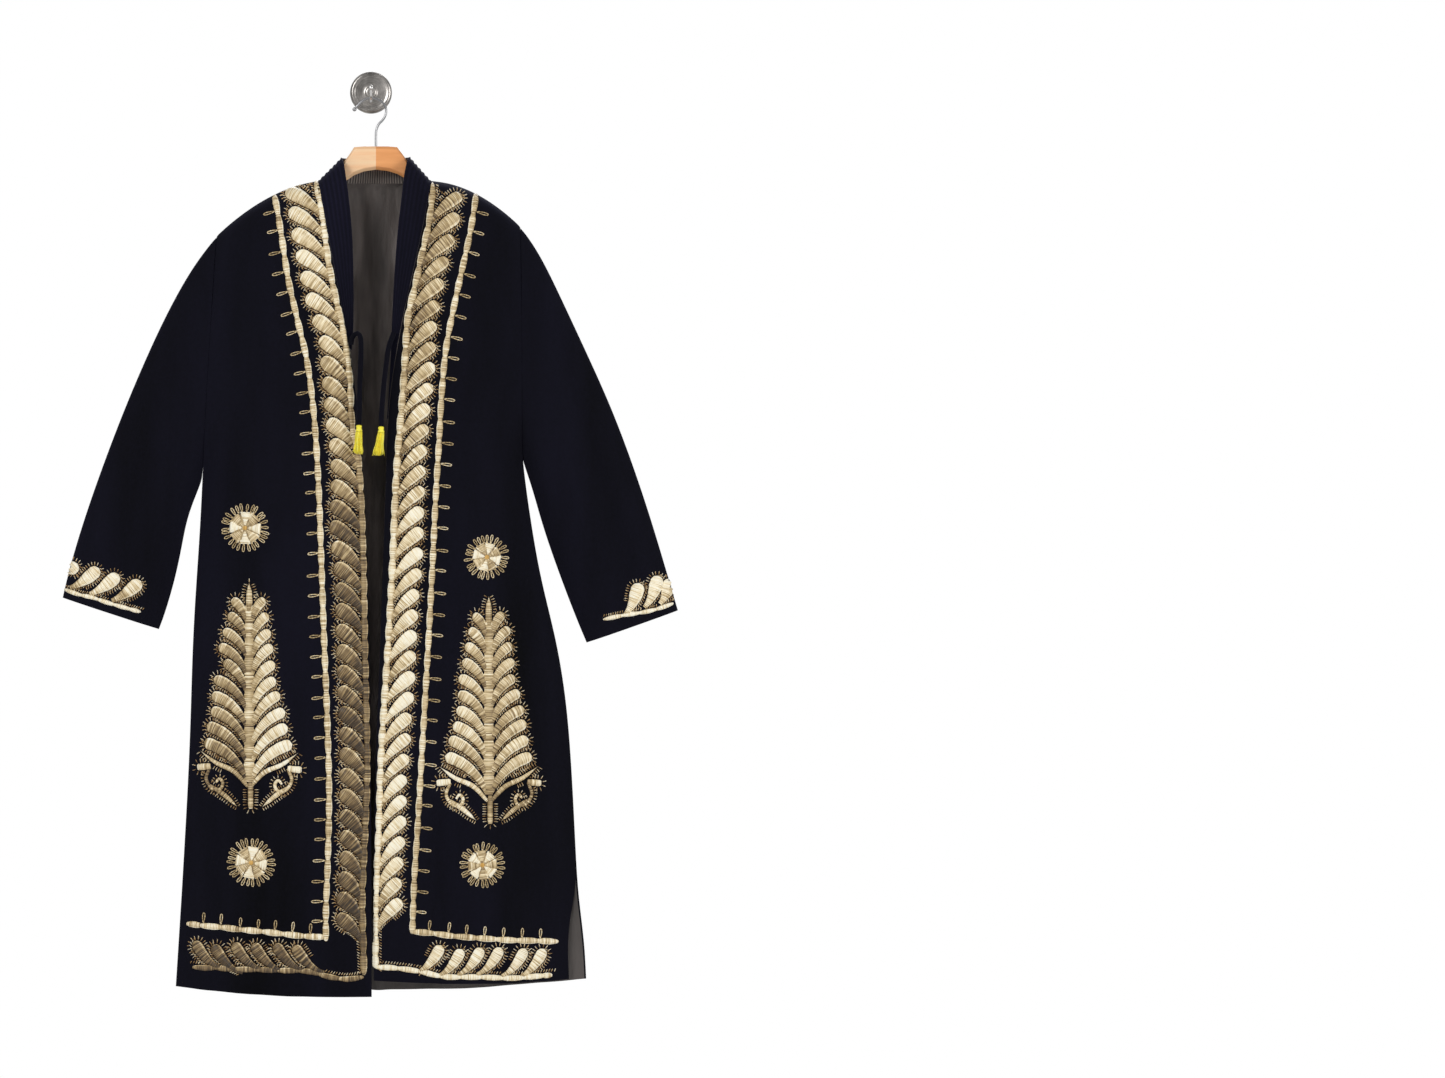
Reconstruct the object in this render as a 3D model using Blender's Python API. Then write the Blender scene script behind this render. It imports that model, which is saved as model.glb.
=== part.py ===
# Embroidered velvet robe on a wooden hanger, hung from a wall hook.
# Sizes are in millimetres until make_object turns them into metres.
# The origin is the middle of the wall plate's back. The wall lies on +Y, the robe faces -Y.

import math

import bmesh
import bpy
import numpy as np

MM = 0.001                # metres in a millimetre

# Cloth and seams
VELVET = 2.2              # thickness of the velvet wall
LINING = 1.0              # thickness of the lining wall
SEAM = 0.3                # space left between two pieces that are sewn together

# The robe's middle plane and how far its front and back stand off it
MID_Y = -54.0
FRONT_DEPTH = 42.0
BACK_DEPTH = 36.0
ARMHOLE_DEPTH = 25.0
SHOULDER_ROLL = 95.0      # length over which the cloth turns from the shoulder line to its full depth
BACK_NECK_DEPTH = 24.0
NECK_X = (-75.0, 85.0)    # where the shoulder seams meet the neck
NECK_Z = -132.0

# Rows of every panel: shoulder to armpit, armpit to the top of the slit, slit to hem
ARMHOLE_STEPS = (0.0, 0.02, 0.06, 0.13, 0.25, 0.40, 0.55, 0.71, 0.87, 1.0)
SIDE_STEPS = 7
SLIT_STEPS = 3
FRONT_COLUMNS = (0.0, 0.14, 0.28, 0.45, 0.62, 0.78, 0.91, 1.0)
NECK_STEPS = (0.07, 0.2, 0.35, 0.5, 0.65, 0.8, 0.93)

# Embroidery
STITCH_GAP = 0.5          # between the velvet and the underside of the padded stitches
STITCH_EDGE = 0.9         # height of a sewn edge where a petal joins its stem
STITCH_CROWN = 2.4        # height of the padded middle
SETTLING = 8              # passes that lift the stitches clear of the turning cloth


def table(columns, *rows):
    """Turn rows of figures into named columns."""
    return {name: np.array(values, float) for name, values in zip(columns.split(), zip(*rows))}


def smooth(values, keys, key):
    """Read a column at a key on a smooth curve that keeps to its points."""
    key = min(max(key, keys[0]), keys[-1])
    i = min(int(np.searchsorted(keys, key, side="right")) - 1, len(keys) - 2)
    slopes = np.diff(values) / np.diff(keys)
    start = slopes[i] if i == 0 else (slopes[i - 1] + slopes[i]) / 2
    end = slopes[i] if i == len(slopes) - 1 else (slopes[i] + slopes[i + 1]) / 2
    span = keys[i + 1] - keys[i]
    t = (key - keys[i]) / span
    return ((1 + 2 * t) * (1 - t) ** 2 * values[i] + t * (1 - t) ** 2 * span * start
            + t * t * (3 - 2 * t) * values[i + 1] + t * t * (t - 1) * span * end)


def edge_x(edge, z):
    """The x of an edge curve at a height, from a table that runs down the robe."""
    return smooth(edge["x"], -edge["z"], -z)


# Outlines seen from the front. Photo left is -X.
OPENING_LEFT = table(
    "z x",
    (-132, -75), (-159, -70), (-230, -57), (-301, -44), (-352, -34), (-415, -24), (-500, -14),
    (-585, -8.5), (-727, -4), (-954, -0.5), (-1285, 1))
OPENING_RIGHT = table(
    "z x",
    (-132, 85), (-159, 81), (-230, 67), (-329, 45), (-429, 28), (-500, 22.5), (-585, 20), (-670, 17),
    (-869, 10), (-954, 6.5), (-1082, 4.5), (-1262, 4))
SIDE_LEFT = table(
    "z x",
    (-548, -239), (-585, -240), (-699, -248), (-784, -253), (-926, -257), (-1096, -266), (-1275, -277))
SIDE_RIGHT = table(
    "z x",
    (-523, 214), (-557, 220), (-642, 230), (-699, 241), (-812, 270), (-897, 280), (-1068, 290),
    (-1132, 293))
SLIT_FRONT_RIGHT = table("z x", (-1132, 293), (-1165, 284), (-1215, 279), (-1265, 281))
SLIT_BACK_RIGHT = table("z x", (-1132, 293), (-1181, 299), (-1224, 304), (-1272, 306))
SLIT_BACK_LEFT = table("z x", (-1132, -268), (-1165, -262), (-1224, -257), (-1275, -254))

# Heights of the rows that the pieces share, on each side and at the opening
ANCHORS = table(
    "side_left side_right opening_left opening_right crown_front crown_back",
    (-210, -197, -132, -132, 15, 0),
    (-548, -523, -500, -485, 0, 0),
    (-1132, -1132, -1142, -1130, 0, 0),
    (-1275, -1265, -1285, -1262, -4, -7))
SHOULDER_X = (-219.0, 212.0)

# Soft folds that run down the cloth: where they start and end across the panel, and how deep they are
FRONT_FOLDS = table(
    "across width depth top bottom",
    (0.70, 0.10, 3.0, -560, -1285),
    (0.86, 0.08, -4.0, -520, -1285),
    (0.55, 0.09, -2.0, -950, -1285))
BACK_FOLDS = table(
    "across width depth top bottom",
    (0.10, 0.06, -5.0, -420, -1285),
    (0.24, 0.06, 4.0, -600, -1285),
    (0.50, 0.05, -3.0, -560, -1285),
    (0.74, 0.06, 4.0, -620, -1285),
    (0.90, 0.06, -5.0, -420, -1285))

# Sleeves, from the armhole to the cuff: outer edge, inner edge and how the tube narrows
SLEEVE_LEFT = table(
    "along outer_x outer_z inner_x inner_z",
    (0.00, -219, -210, -239, -548),
    (0.08, -247, -244, -240, -556),
    (0.18, -281, -301, -244, -568),
    (0.32, -321, -386, -253, -590),
    (0.48, -358, -475, -263, -622),
    (0.64, -390, -562, -271, -668),
    (0.80, -416, -640, -281, -710),
    (0.92, -431, -696, -292, -747),
    (1.00, -437, -723, -300, -768))
SLEEVE_RIGHT = table(
    "along outer_x outer_z inner_x inner_z",
    (0.00, 212, -197, 214, -523),
    (0.08, 236, -228, 217, -534),
    (0.18, 264, -285, 222, -549),
    (0.32, 302, -366, 230, -574),
    (0.48, 344, -459, 240, -610),
    (0.64, 380, -558, 252, -648),
    (0.80, 407, -644, 270, -699),
    (0.92, 426, -710, 291, -754),
    (1.00, 435, -741, 305, -787))
SLEEVE_FORWARD = 14.0     # how far the cuff hangs in front of the middle plane
CUFF_DEPTH = 17.0

# Neckband: its free edge, beside the height of its seam on each front
BAND_LEFT = table(
    "seam_z edge_x edge_z lean",
    (-132, -42, -99, 0), (-145, -38, -114, 3), (-159, -35, -132, 5), (-190, -30, -172, 5),
    (-230, -26, -222, 4), (-270, -25, -268, 3), (-301, -24, -301, 2), (-340, -25, -342, 1),
    (-372, -27, -374, 0))
BAND_RIGHT = table(
    "seam_z edge_x edge_z lean",
    (-132, 55, -98, 0), (-145, 50, -112, 3), (-159, 46, -132, 5), (-190, 42, -172, 5),
    (-230, 36, -222, 4), (-270, 33, -268, 3), (-301, 31, -301, 2), (-350, 29, -352, 1),
    (-400, 27, -402, 0.5), (-440, 24.5, -442, 0), (-470, 22.5, -472, 0))
BAND_THICKNESS = 2.6
BACK_BAND = table(
    "share x y z",
    (0.0, -42, 0, -99), (0.09, -41.5, 9, -98.5), (0.2, -35, 15, -98.5), (0.35, -16, 19, -98), (0.5, 6, 21, -97.5),
    (0.65, 28, 19, -97.5), (0.8, 47, 15, -97.5), (0.91, 54.5, 9, -97.5), (1.0, 55, 0, -98))

# Hanger: a contoured board, its outline from one end to the other
HANGER = table(
    "x top bottom",
    (-168, 0, -190), (-150, 0, -186), (-120, 0, -175), (-95, 0, -164), (-75, -143, -155),
    (-60, -139, -146), (-50, -126, -139), (-40, -107, -134), (-31, -95, -129), (-24, -84, -124), (-10, -83, -118.5),
    (7, -83, -116), (24, -83, -118), (37, -84, -122), (47, -97, -127.5), (55, -111, -132), (64, -130, -141),
    (72, -141, -148), (85, -144, -154), (105, 0, -163), (130, 0, -174), (150, 0, -183), (172, 0, -194))
HANGER_SEAT = 6.3         # from the shoulder line down to the board, past the neck, where the top reads 0
HANGER_HALF = 5.5         # half of the board's thickness
HANGER_RIDGE = 1.0        # half of the width left on its top between the rounded edges
HANGER_ROUND = 4.4

# Wire hook of the hanger, along its middle line
WIRE = 3.4
WIRE_ROUTE = table(
    "x z",
    (7, -82.6), (7, -70), (7.6, -60), (11, -51.5), (17, -45), (21, -37), (21.2, -29), (17, -21),
    (9.5, -16), (1, -14.2), (-7.5, -15.5), (-14, -19.5), (-18.8, -24.5), (-22, -28.5))
WIRE_BALL = 2.9

# Wall plate, a turned disc: distance from the wall and radius
PLATE = table(
    "out radius",
    (0, 28), (1.5, 30), (3.5, 30), (5, 28.5), (6.5, 28), (7.5, 25), (6.6, 22.5), (6.4, 9), (10.0, 8), (12, 5.5))
PLATE_SIDES = 32
HOOK_ROD = 4.4
HOOK_ROUTE = table(
    "y z",
    (-12.3, -1.5), (-18, -1.8), (-26, -4.2), (-34, -8.5), (-43, -14.5), (-50, -18), (-54, -18.75), (-58.5, -18),
    (-64, -14.5), (-68.5, -9.5), (-71, -4.5))
HOOK_BALL = 3.6

# Ties and tassels
TIE = 7.0
TIE_LEFT = table(
    "x y z",
    (-28, -100.1, -367), (-26.5, -100.3, -358), (-22, -102.5, -352), (-17.5, -105.5, -352), (-14.8, -107, -358),
    (-14, -108, -372),
    (-14.8, -108.5, -400), (-16, -108.8, -430), (-16.6, -109, -460), (-16.9, -109, -480))
TIE_RIGHT = table(
    "x y z",
    (32, -98.9, -350), (30, -99.6, -356), (27, -103, -364), (24.5, -105.5, -373), (22, -107.5, -390),
    (19, -108.3, -415),
    (16.6, -108.6, -440), (15, -108.8, -462), (14.2, -109, -482))
TIE_STEP = 14.0           # between the tube's points
TASSEL_HEAD = 7.0
TASSEL_LENGTH = 41.0

# Stems of the garlands: the middle of the stitched stem, which turns along the hem
STEM = 7.0
STEM_LEFT = table(
    "x z",
    (-76.5, -150), (-69, -182), (-60, -251), (-49, -305), (-38, -352), (-30, -415), (-27, -478),
    (-18, -530), (-14, -585), (-11, -670), (-9, -784), (-7, -875), (-5.5, -964), (-9.5, -1074),
    (-12.5, -1146), (-13.5, -1212), (-13.5, -1236), (-20, -1247), (-50, -1251), (-101, -1250), (-175, -1251),
    (-252, -1249))
STEM_RIGHT = table(
    "x z",
    (87.5, -150), (84, -182), (71, -244), (62, -285), (52, -329), (48.5, -378), (45.5, -423), (41.5, -474),
    (36.5, -537), (33.5, -595), (30.5, -670), (24.5, -784), (18.5, -875), (13.5, -964), (11.5, -1037),
    (8.5, -1110), (9, -1174), (10.5, -1222), (16, -1236), (40, -1240), (70, -1244), (102, -1252), (183, -1254),
    (256, -1252))
PETALS_LEFT = table("x z", (-62, -213), (-9, -1190))
PETALS_RIGHT = table("x z", (76, -215), (9, -1188))
PETAL_STEP = 29.2
HEM_PETALS_LEFT = (-228, -199, -169, -141, -112, -83)
HEM_PETALS_RIGHT = (78, 108, 137, 166, 196, 226)

# Straight line of stitching outside each garland, which turns along the hem
LINE = 6.5
LINE_LEFT = table(
    "x z",
    (-134, -166), (-126, -214), (-117, -272), (-104, -330), (-91, -385), (-83, -440), (-77, -510), (-73, -585),
    (-70, -670), (-66, -784), (-63.5, -897), (-62.5, -1000), (-62.5, -1082), (-63.5, -1153), (-65, -1190),
    (-72, -1199), (-120, -1198), (-190, -1193), (-258, -1187))
LINE_RIGHT = table(
    "x z",
    (147, -170), (139, -212), (128, -262), (117, -312), (106, -370), (100, -430), (96, -500), (91, -585),
    (87, -670), (82, -765), (76, -869), (71, -954), (66, -1040), (63, -1120), (60.5, -1190),
    (68, -1200), (110, -1202), (190, -1206), (264, -1211))

# Cypress trees: middle x, top z, height, half width and the leaves on each side
CYPRESS = table(
    "x top height half",
    (-169, -706, 310, 66),
    (163, -722, 318, 68))
CYPRESS_LEAVES = 9

# Round flowers: middle and radius
ROSETTES = table(
    "x z radius",
    (-178, -625, 23),
    (-169, -1096, 23),
    (163, -666, 21),
    (158, -1099, 21))

# Back ornaments
WREATH = {"x": 7, "z": -388, "ring": 43.5, "petals": 21, "length": 57, "width": 21}
NECKLACE = {"x": 3, "z": -156, "petals": 7, "spread": 68, "length": 92, "short": 48}
BACK_HEM = table(
    "start_x start_z end_x end_z petals",
    (234, -1243, 4, -1255, 7),
    (-60, -1256, -232, -1256, 6))


def clear_scene():
    for item in list(bpy.data.objects):
        bpy.data.objects.remove(item, do_unlink=True)


def finish(name, color, roughness, metallic=0.0):
    made = bpy.data.materials.new(name)
    made.use_nodes = True
    shader = made.node_tree.nodes["Principled BSDF"]
    shader.inputs["Base Color"].default_value = (*color, 1.0)
    shader.inputs["Roughness"].default_value = roughness
    shader.inputs["Metallic"].default_value = metallic
    made.diffuse_color = (*color, 1.0)
    return made


def make_object(name, points, faces, material):
    """Make one closed body from points in millimetres, with its faces turned outwards."""
    mesh = bpy.data.meshes.new(name)
    mesh.from_pydata([[value * MM for value in point] for point in points], [], faces)
    made = bmesh.new()
    made.from_mesh(mesh)
    bmesh.ops.recalc_face_normals(made, faces=made.faces)
    made.to_mesh(mesh)
    made.free()
    mesh.materials.append(material)
    mesh.shade_smooth()
    mesh.set_sharp_from_angle(angle=math.radians(40))
    placed = bpy.data.objects.new(name, mesh)
    bpy.context.scene.collection.objects.link(placed)
    return placed


def grid_faces(rows, columns, start=0, wrap=False):
    """Two triangles for each cell of a grid, cut the same way everywhere."""
    faces = []
    for i in range(rows - 1):
        for j in range(columns if wrap else columns - 1):
            a = start + i * columns + j
            b = start + i * columns + (j + 1) % columns
            faces.append((a, b, b + columns))
            faces.append((a, b + columns, a + columns))
    return faces


def strip_faces(first, second):
    """Join two equal runs of points with triangles."""
    faces = []
    for i in range(len(first) - 1):
        faces.append((first[i], first[i + 1], second[i + 1]))
        faces.append((first[i], second[i + 1], second[i]))
    return faces


def cloth_wall(name, outer, inner, material, wrap=False):
    """A wall of cloth between two grids of points, closed along its free edges."""
    rows, columns = outer.shape[:2]
    count = rows * columns
    points = list(outer.reshape(-1, 3)) + list(inner.reshape(-1, 3))
    faces = grid_faces(rows, columns, 0, wrap)
    faces += [face[::-1] for face in grid_faces(rows, columns, count, wrap)]
    order = np.arange(count).reshape(rows, columns)
    ends = [order[0], order[-1]]
    if wrap:
        ends = [np.append(end, end[0]) for end in ends]
        rims = ends
    else:
        rims = ends + [order[:, 0], order[:, -1]]
    for rim in rims:
        faces += strip_faces([int(i) for i in rim], [int(i) + count for i in rim])
    return make_object(name, points, faces, material)


def rows_between(anchors):
    """Heights of every row from the four shared anchor heights."""
    shoulder, armpit, slit, hem = anchors
    rows = [shoulder + (armpit - shoulder) * step for step in ARMHOLE_STEPS]
    rows += [armpit + (slit - armpit) * (i + 1) / SIDE_STEPS for i in range(SIDE_STEPS)]
    rows += [slit + (hem - slit) * (i + 1) / SLIT_STEPS for i in range(SLIT_STEPS)]
    return np.array(rows)


ARMPIT_ROW = len(ARMHOLE_STEPS) - 1
SLIT_ROW = ARMPIT_ROW + SIDE_STEPS
ROWS = SLIT_ROW + SLIT_STEPS + 1
SIDE_ROWS_LEFT = rows_between(ANCHORS["side_left"])
SIDE_ROWS_RIGHT = rows_between(ANCHORS["side_right"])


def armhole_shape(along):
    return math.sqrt(max(0.0, 4 * along * (1 - along)))


def side_point(side, row, back):
    """Where a panel's side edge is at a row: x, height and depth from the middle plane."""
    heights = SIDE_ROWS_LEFT if side < 0 else SIDE_ROWS_RIGHT
    z = heights[row]
    seam = SIDE_LEFT if side < 0 else SIDE_RIGHT
    if row <= ARMPIT_ROW:
        shoulder = SHOULDER_X[0] if side < 0 else SHOULDER_X[1]
        x = shoulder + (seam["x"][0] - shoulder) * ARMHOLE_STEPS[row]
        return x, z, ARMHOLE_DEPTH * armhole_shape(ARMHOLE_STEPS[row])
    if row > SLIT_ROW:
        if side < 0:
            seam = SLIT_BACK_LEFT if back else SIDE_LEFT
        else:
            seam = SLIT_BACK_RIGHT if back else SLIT_FRONT_RIGHT
    return edge_x(seam, z), z, 0.0


def slit_flare(row):
    """The two edges of a slit part a little below its top."""
    return 3.0 * max(0, row - SLIT_ROW) / SLIT_STEPS


def fold_depth(folds, across, z):
    depth = 0.0
    for middle, width, deep, top, bottom in zip(*folds.values()):
        along = min(1.0, max(0.0, (top - z) / (top - bottom) * 1.6))
        depth += deep * math.exp(-((across - middle) / width) ** 2) * along * (2 - along)
    return depth


def roll(below):
    """How far the cloth has turned from the shoulder line to its full depth."""
    return math.sqrt(1 - (1 - min(1.0, below / SHOULDER_ROLL)) ** 2)


class Panel:
    """A cut piece of cloth as a grid of points, with its other layers at any distance inside it."""

    def __init__(self, outward, points, rules):
        self.outward = outward
        self.points = points
        self.rules = rules
        self.normals = self.find_normals()

    def find_normals(self):
        down = np.gradient(self.points, axis=0)
        along = np.gradient(self.points, axis=1)
        normals = np.cross(down, along)
        normals /= np.linalg.norm(normals, axis=2, keepdims=True)
        facing = np.sign(normals[ROWS // 2, normals.shape[1] // 2, 1]) * self.outward
        return normals * facing

    def inside(self, distance):
        """The same grid, moved in by a distance, by the rule of each edge."""
        moved = self.points - self.normals * distance
        for (row, column), rule in self.rules.items():
            moved[row, column] = self.points[row, column] + np.array(rule(distance))
        return moved

    def height(self, x, z):
        """The y of the outer face at x and z, on the triangle that holds them or lies nearest."""
        if not hasattr(self, "corners"):
            rows, columns = self.points.shape[:2]
            corners = self.points.reshape(-1, 3)[np.array(grid_faces(rows, columns))]
            first = corners[:, 0]
            second = corners[:, 1] - first
            third = corners[:, 2] - first
            area = second[:, 0] * third[:, 2] - third[:, 0] * second[:, 2]
            kept = np.abs(area) > 1e-6
            self.corners = first[kept], second[kept], third[kept], area[kept]
        first, second, third, area = self.corners
        dx = x - first[:, 0]
        dz = z - first[:, 2]
        b = (dx * third[:, 2] - third[:, 0] * dz) / area
        c = (second[:, 0] * dz - dx * second[:, 2]) / area
        best = int(np.argmin(np.maximum.reduce([-b, -c, b + c - 1])))
        return first[best, 1] + b[best] * second[best, 1] + c[best] * third[best, 1]

    def lift(self, x, z, out):
        """A point on the outer face at x and z, moved out."""
        return (x, self.height(x, z) + self.outward * out, z)


def side_rule(side, row, outward):
    """How a side edge moves in: round the armhole as a loop, below it straight inwards."""
    loop = armhole_rule(side, row, outward) if row < ARMPIT_ROW else None
    return loop or (lambda distance: (-side * distance, 0.0, 0.0))


def armhole_rule(side, row, outward):
    step = ARMHOLE_STEPS[row]
    top = np.array([SHOULDER_X[0 if side < 0 else 1], (SIDE_ROWS_LEFT if side < 0 else SIDE_ROWS_RIGHT)[0]])
    seam = SIDE_LEFT if side < 0 else SIDE_RIGHT
    pit = np.array([seam["x"][0], seam["z"][0]])
    length = np.linalg.norm(pit - top)
    along = (pit - top) / length

    def rule(distance):
        shift = (distance / length) * (1 - 2 * step) * length
        x, z = along * shift
        return x, -outward * distance * armhole_shape(step), z
    return rule


def front_panel(side):
    """One front, from its opening edge to its side."""
    opening = OPENING_LEFT if side < 0 else OPENING_RIGHT
    heights = rows_between(ANCHORS["opening_left" if side < 0 else "opening_right"])
    anchor_rows = (0, ARMPIT_ROW, SLIT_ROW, ROWS - 1)
    points = np.zeros((ROWS, len(FRONT_COLUMNS), 3))
    shoulder = None
    for row in range(ROWS):
        side_x, side_z, side_depth = side_point(side, row, False)
        open_z = heights[row]
        open_x = edge_x(opening, open_z)
        crown = np.interp(row, anchor_rows, ANCHORS["crown_front"])
        if row <= ARMPIT_ROW:
            crown = ANCHORS["crown_front"][0] * (1 - ARMHOLE_STEPS[row]) ** 3
        for column, across in enumerate(FRONT_COLUMNS):
            x = open_x + (side_x - open_x) * across
            z = open_z + (side_z - open_z) * across + crown * 4 * across * (1 - across)
            if row == 0:
                shoulder = (shoulder or []) + [z]
            profile = (1 - across ** 3.0) ** 0.8
            depth = side_depth + (FRONT_DEPTH - side_depth) * profile * roll(shoulder[column] - z)
            depth += fold_depth(FRONT_FOLDS, across, z) if across < 1.0 else slit_flare(row)
            points[row, column] = (x, MID_Y - SEAM / 2 - depth, z)
    rules = {}
    last = len(FRONT_COLUMNS) - 1
    for column in range(last + 1):
        rules[(0, column)] = lambda distance: (0.0, 0.0, -distance)
    for row in range(ROWS):
        rules[(row, last)] = side_rule(side, row, -1)
    return Panel(-1, points, rules)


def back_columns():
    left, right = SHOULDER_X
    first = (NECK_X[0] - left) / (right - left)
    second = (NECK_X[1] - left) / (right - left)
    columns = [0.0, 0.035, 0.10, 0.20, first]
    columns += [first + (second - first) * share for share in NECK_STEPS]
    columns += [second, 0.80, 0.90, 0.965, 1.0]
    return columns, columns.index(first), columns.index(second)


def back_panel():
    """The back, from side to side, with the neck in the middle of its top edge."""
    columns, neck_start, neck_end = back_columns()
    points = np.zeros((ROWS, len(columns), 3))
    top = []
    anchor_rows = (0, ARMPIT_ROW, SLIT_ROW, ROWS - 1)
    for row in range(ROWS):
        left_x, left_z, left_depth = side_point(-1, row, True)
        right_x, right_z, right_depth = side_point(1, row, True)
        droop = np.interp(row, anchor_rows, ANCHORS["crown_back"])
        upper = (1 - ARMHOLE_STEPS[row]) ** 3 if row <= ARMPIT_ROW else 0.0
        neck_row = rows_between((NECK_Z, -500, -1142, -1277))[row]
        for column, across in enumerate(columns):
            x = left_x + (right_x - left_x) * across
            if across <= columns[neck_start]:
                share = across / columns[neck_start]
                z = left_z + (neck_row - left_z) * share
            elif across >= columns[neck_end]:
                share = (1 - across) / (1 - columns[neck_end])
                z = right_z + (neck_row - right_z) * share
            else:
                share = 1.0
                z = neck_row
            z += ANCHORS["crown_front"][0] * upper * 4 * share * (1 - share)
            z += droop * 4 * across * (1 - across)
            neck = 0.0
            if neck_start < column < neck_end:
                turn = NECK_STEPS[column - neck_start - 1]
                neck = BACK_NECK_DEPTH * math.sin(math.pi * turn) ** 0.6
            if row == 0:
                top.append(z)
            side_depth = left_depth if across < 0.5 else right_depth
            profile = (1 - abs(2 * across - 1) ** 3.0) ** 0.8
            start = max(neck, side_depth)
            depth = start + (BACK_DEPTH - start) * profile * roll(top[column] - z)
            depth += fold_depth(BACK_FOLDS, across, z) if 0 < across < 1 else slit_flare(row)
            points[row, column] = (x, MID_Y + SEAM / 2 + depth, z)
    rules = {}
    last = len(columns) - 1
    for column in range(last + 1):
        if column <= neck_start or column >= neck_end:
            rules[(0, column)] = lambda distance: (0.0, 0.0, -distance)
    for row in range(ROWS):
        for side, column in ((-1, 0), (1, last)):
            rules[(row, column)] = side_rule(side, row, 1)
    panel = Panel(1, points, rules)
    panel.neck = (neck_start, neck_end)
    return panel


def lining_of(name, panel, material):
    """The lining of a panel, just inside it."""
    return cloth_wall(name, panel.inside(VELVET + SEAM), panel.inside(VELVET + SEAM + LINING), material)


def sleeve_section(sleeve, along, inset):
    """One loop of a sleeve, moved in from its outer face."""
    outer = np.array([smooth(sleeve["outer_x"], sleeve["along"], along),
                      smooth(sleeve["outer_z"], sleeve["along"], along)])
    inner = np.array([smooth(sleeve["inner_x"], sleeve["along"], along),
                      smooth(sleeve["inner_z"], sleeve["along"], along)])
    length = np.linalg.norm(inner - outer)
    direction = (inner - outer) / length
    outer = outer + direction * inset
    inner = inner - direction * inset
    depth = ARMHOLE_DEPTH + (CUFF_DEPTH - ARMHOLE_DEPTH) * along + SEAM / 2 - inset
    middle = MID_Y - SLEEVE_FORWARD * along ** 1.5
    loop = []
    steps = list(ARMHOLE_STEPS)
    for step in steps:
        x, z = outer + (inner - outer) * step
        loop.append((x, middle - depth * armhole_shape(step), z))
    for step in steps[-2:0:-1]:
        x, z = outer + (inner - outer) * step
        loop.append((x, middle + depth * armhole_shape(step), z))
    return np.array(loop)


SLEEVE_SECTIONS = (0.0, 0.05, 0.12, 0.22, 0.34, 0.47, 0.60, 0.73, 0.85, 0.94, 1.0)


def sleeve_grid(side, sleeve, sections, inset):
    grid = np.array([sleeve_section(sleeve, along, inset) for along in sections])
    grid[:, :, 0] += side * (SEAM + 0.05)
    return grid


def sleeve_panel(side, sleeve, back):
    """The front or back half of a sleeve, for what is sewn on it."""
    grid = sleeve_grid(side, sleeve, SLEEVE_SECTIONS, 0.0)
    half = len(ARMHOLE_STEPS)
    if back:
        points = np.concatenate([grid[:, half - 1:], grid[:, :1]], axis=1)
    else:
        points = grid[:, :half]
    panel = Panel.__new__(Panel)
    panel.outward = 1 if back else -1
    panel.points = points
    return panel


def band_run(panel, band):
    """Points of the band's seam along a front's opening edge, its free edge and its inward direction."""
    edge = panel.points[:, 0]
    inward = -panel.normals[:, 0]
    end = band["seam_z"][-1]
    run = []
    for row in range(len(edge)):
        last = edge[row, 2] <= end
        share = (end - edge[row - 1, 2]) / (edge[row, 2] - edge[row - 1, 2]) if last else 0.0
        low = edge[row - 1] + (edge[row] - edge[row - 1]) * share if last else edge[row]
        free = [smooth(band[key], -band["seam_z"], -low[2]) for key in ("edge_x", "lean", "edge_z")]
        y = MID_Y if row == 0 else low[1] + free[1]
        run.append((low, np.array((free[0], y, free[2])), inward[row] if row else None))
        if last:
            return run
    return run


def neckband(name, left, right, back, material):
    """The band round the neck, from the end on one front to the end on the other."""
    run = band_run(left, BAND_LEFT)[::-1]
    start, end = back.neck
    for column in range(start + 1, end):
        share = NECK_STEPS[column - start - 1]
        free = [np.interp(share, BACK_BAND["share"], BACK_BAND[key]) for key in "xyz"]
        run.append((back.points[0, column], np.array((free[0], MID_Y + free[1], free[2])), None))
    run += band_run(right, BAND_RIGHT)
    seam = np.array([low for low, high, inward in run])
    edge = np.array([high for low, high, inward in run])
    reach = edge - seam
    seam = seam + reach / np.linalg.norm(reach, axis=1, keepdims=True) * (SEAM + 0.1)
    outer = np.stack([seam, (seam + edge) / 2, edge], axis=1)
    normals = np.cross(np.gradient(outer, axis=0), (edge - seam)[:, None, :])
    normals /= np.linalg.norm(normals, axis=2, keepdims=True)
    inward = normals if normals[0, 0, 1] > 0 else -normals
    for i, (low, high, direction) in enumerate(run):
        if direction is not None:
            inward[i, 0] = direction
    return cloth_wall(name, outer, outer + inward * BAND_THICKNESS, material)


def path_points(path):
    return np.stack([path["x"], path["z"]], axis=1)


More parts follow.
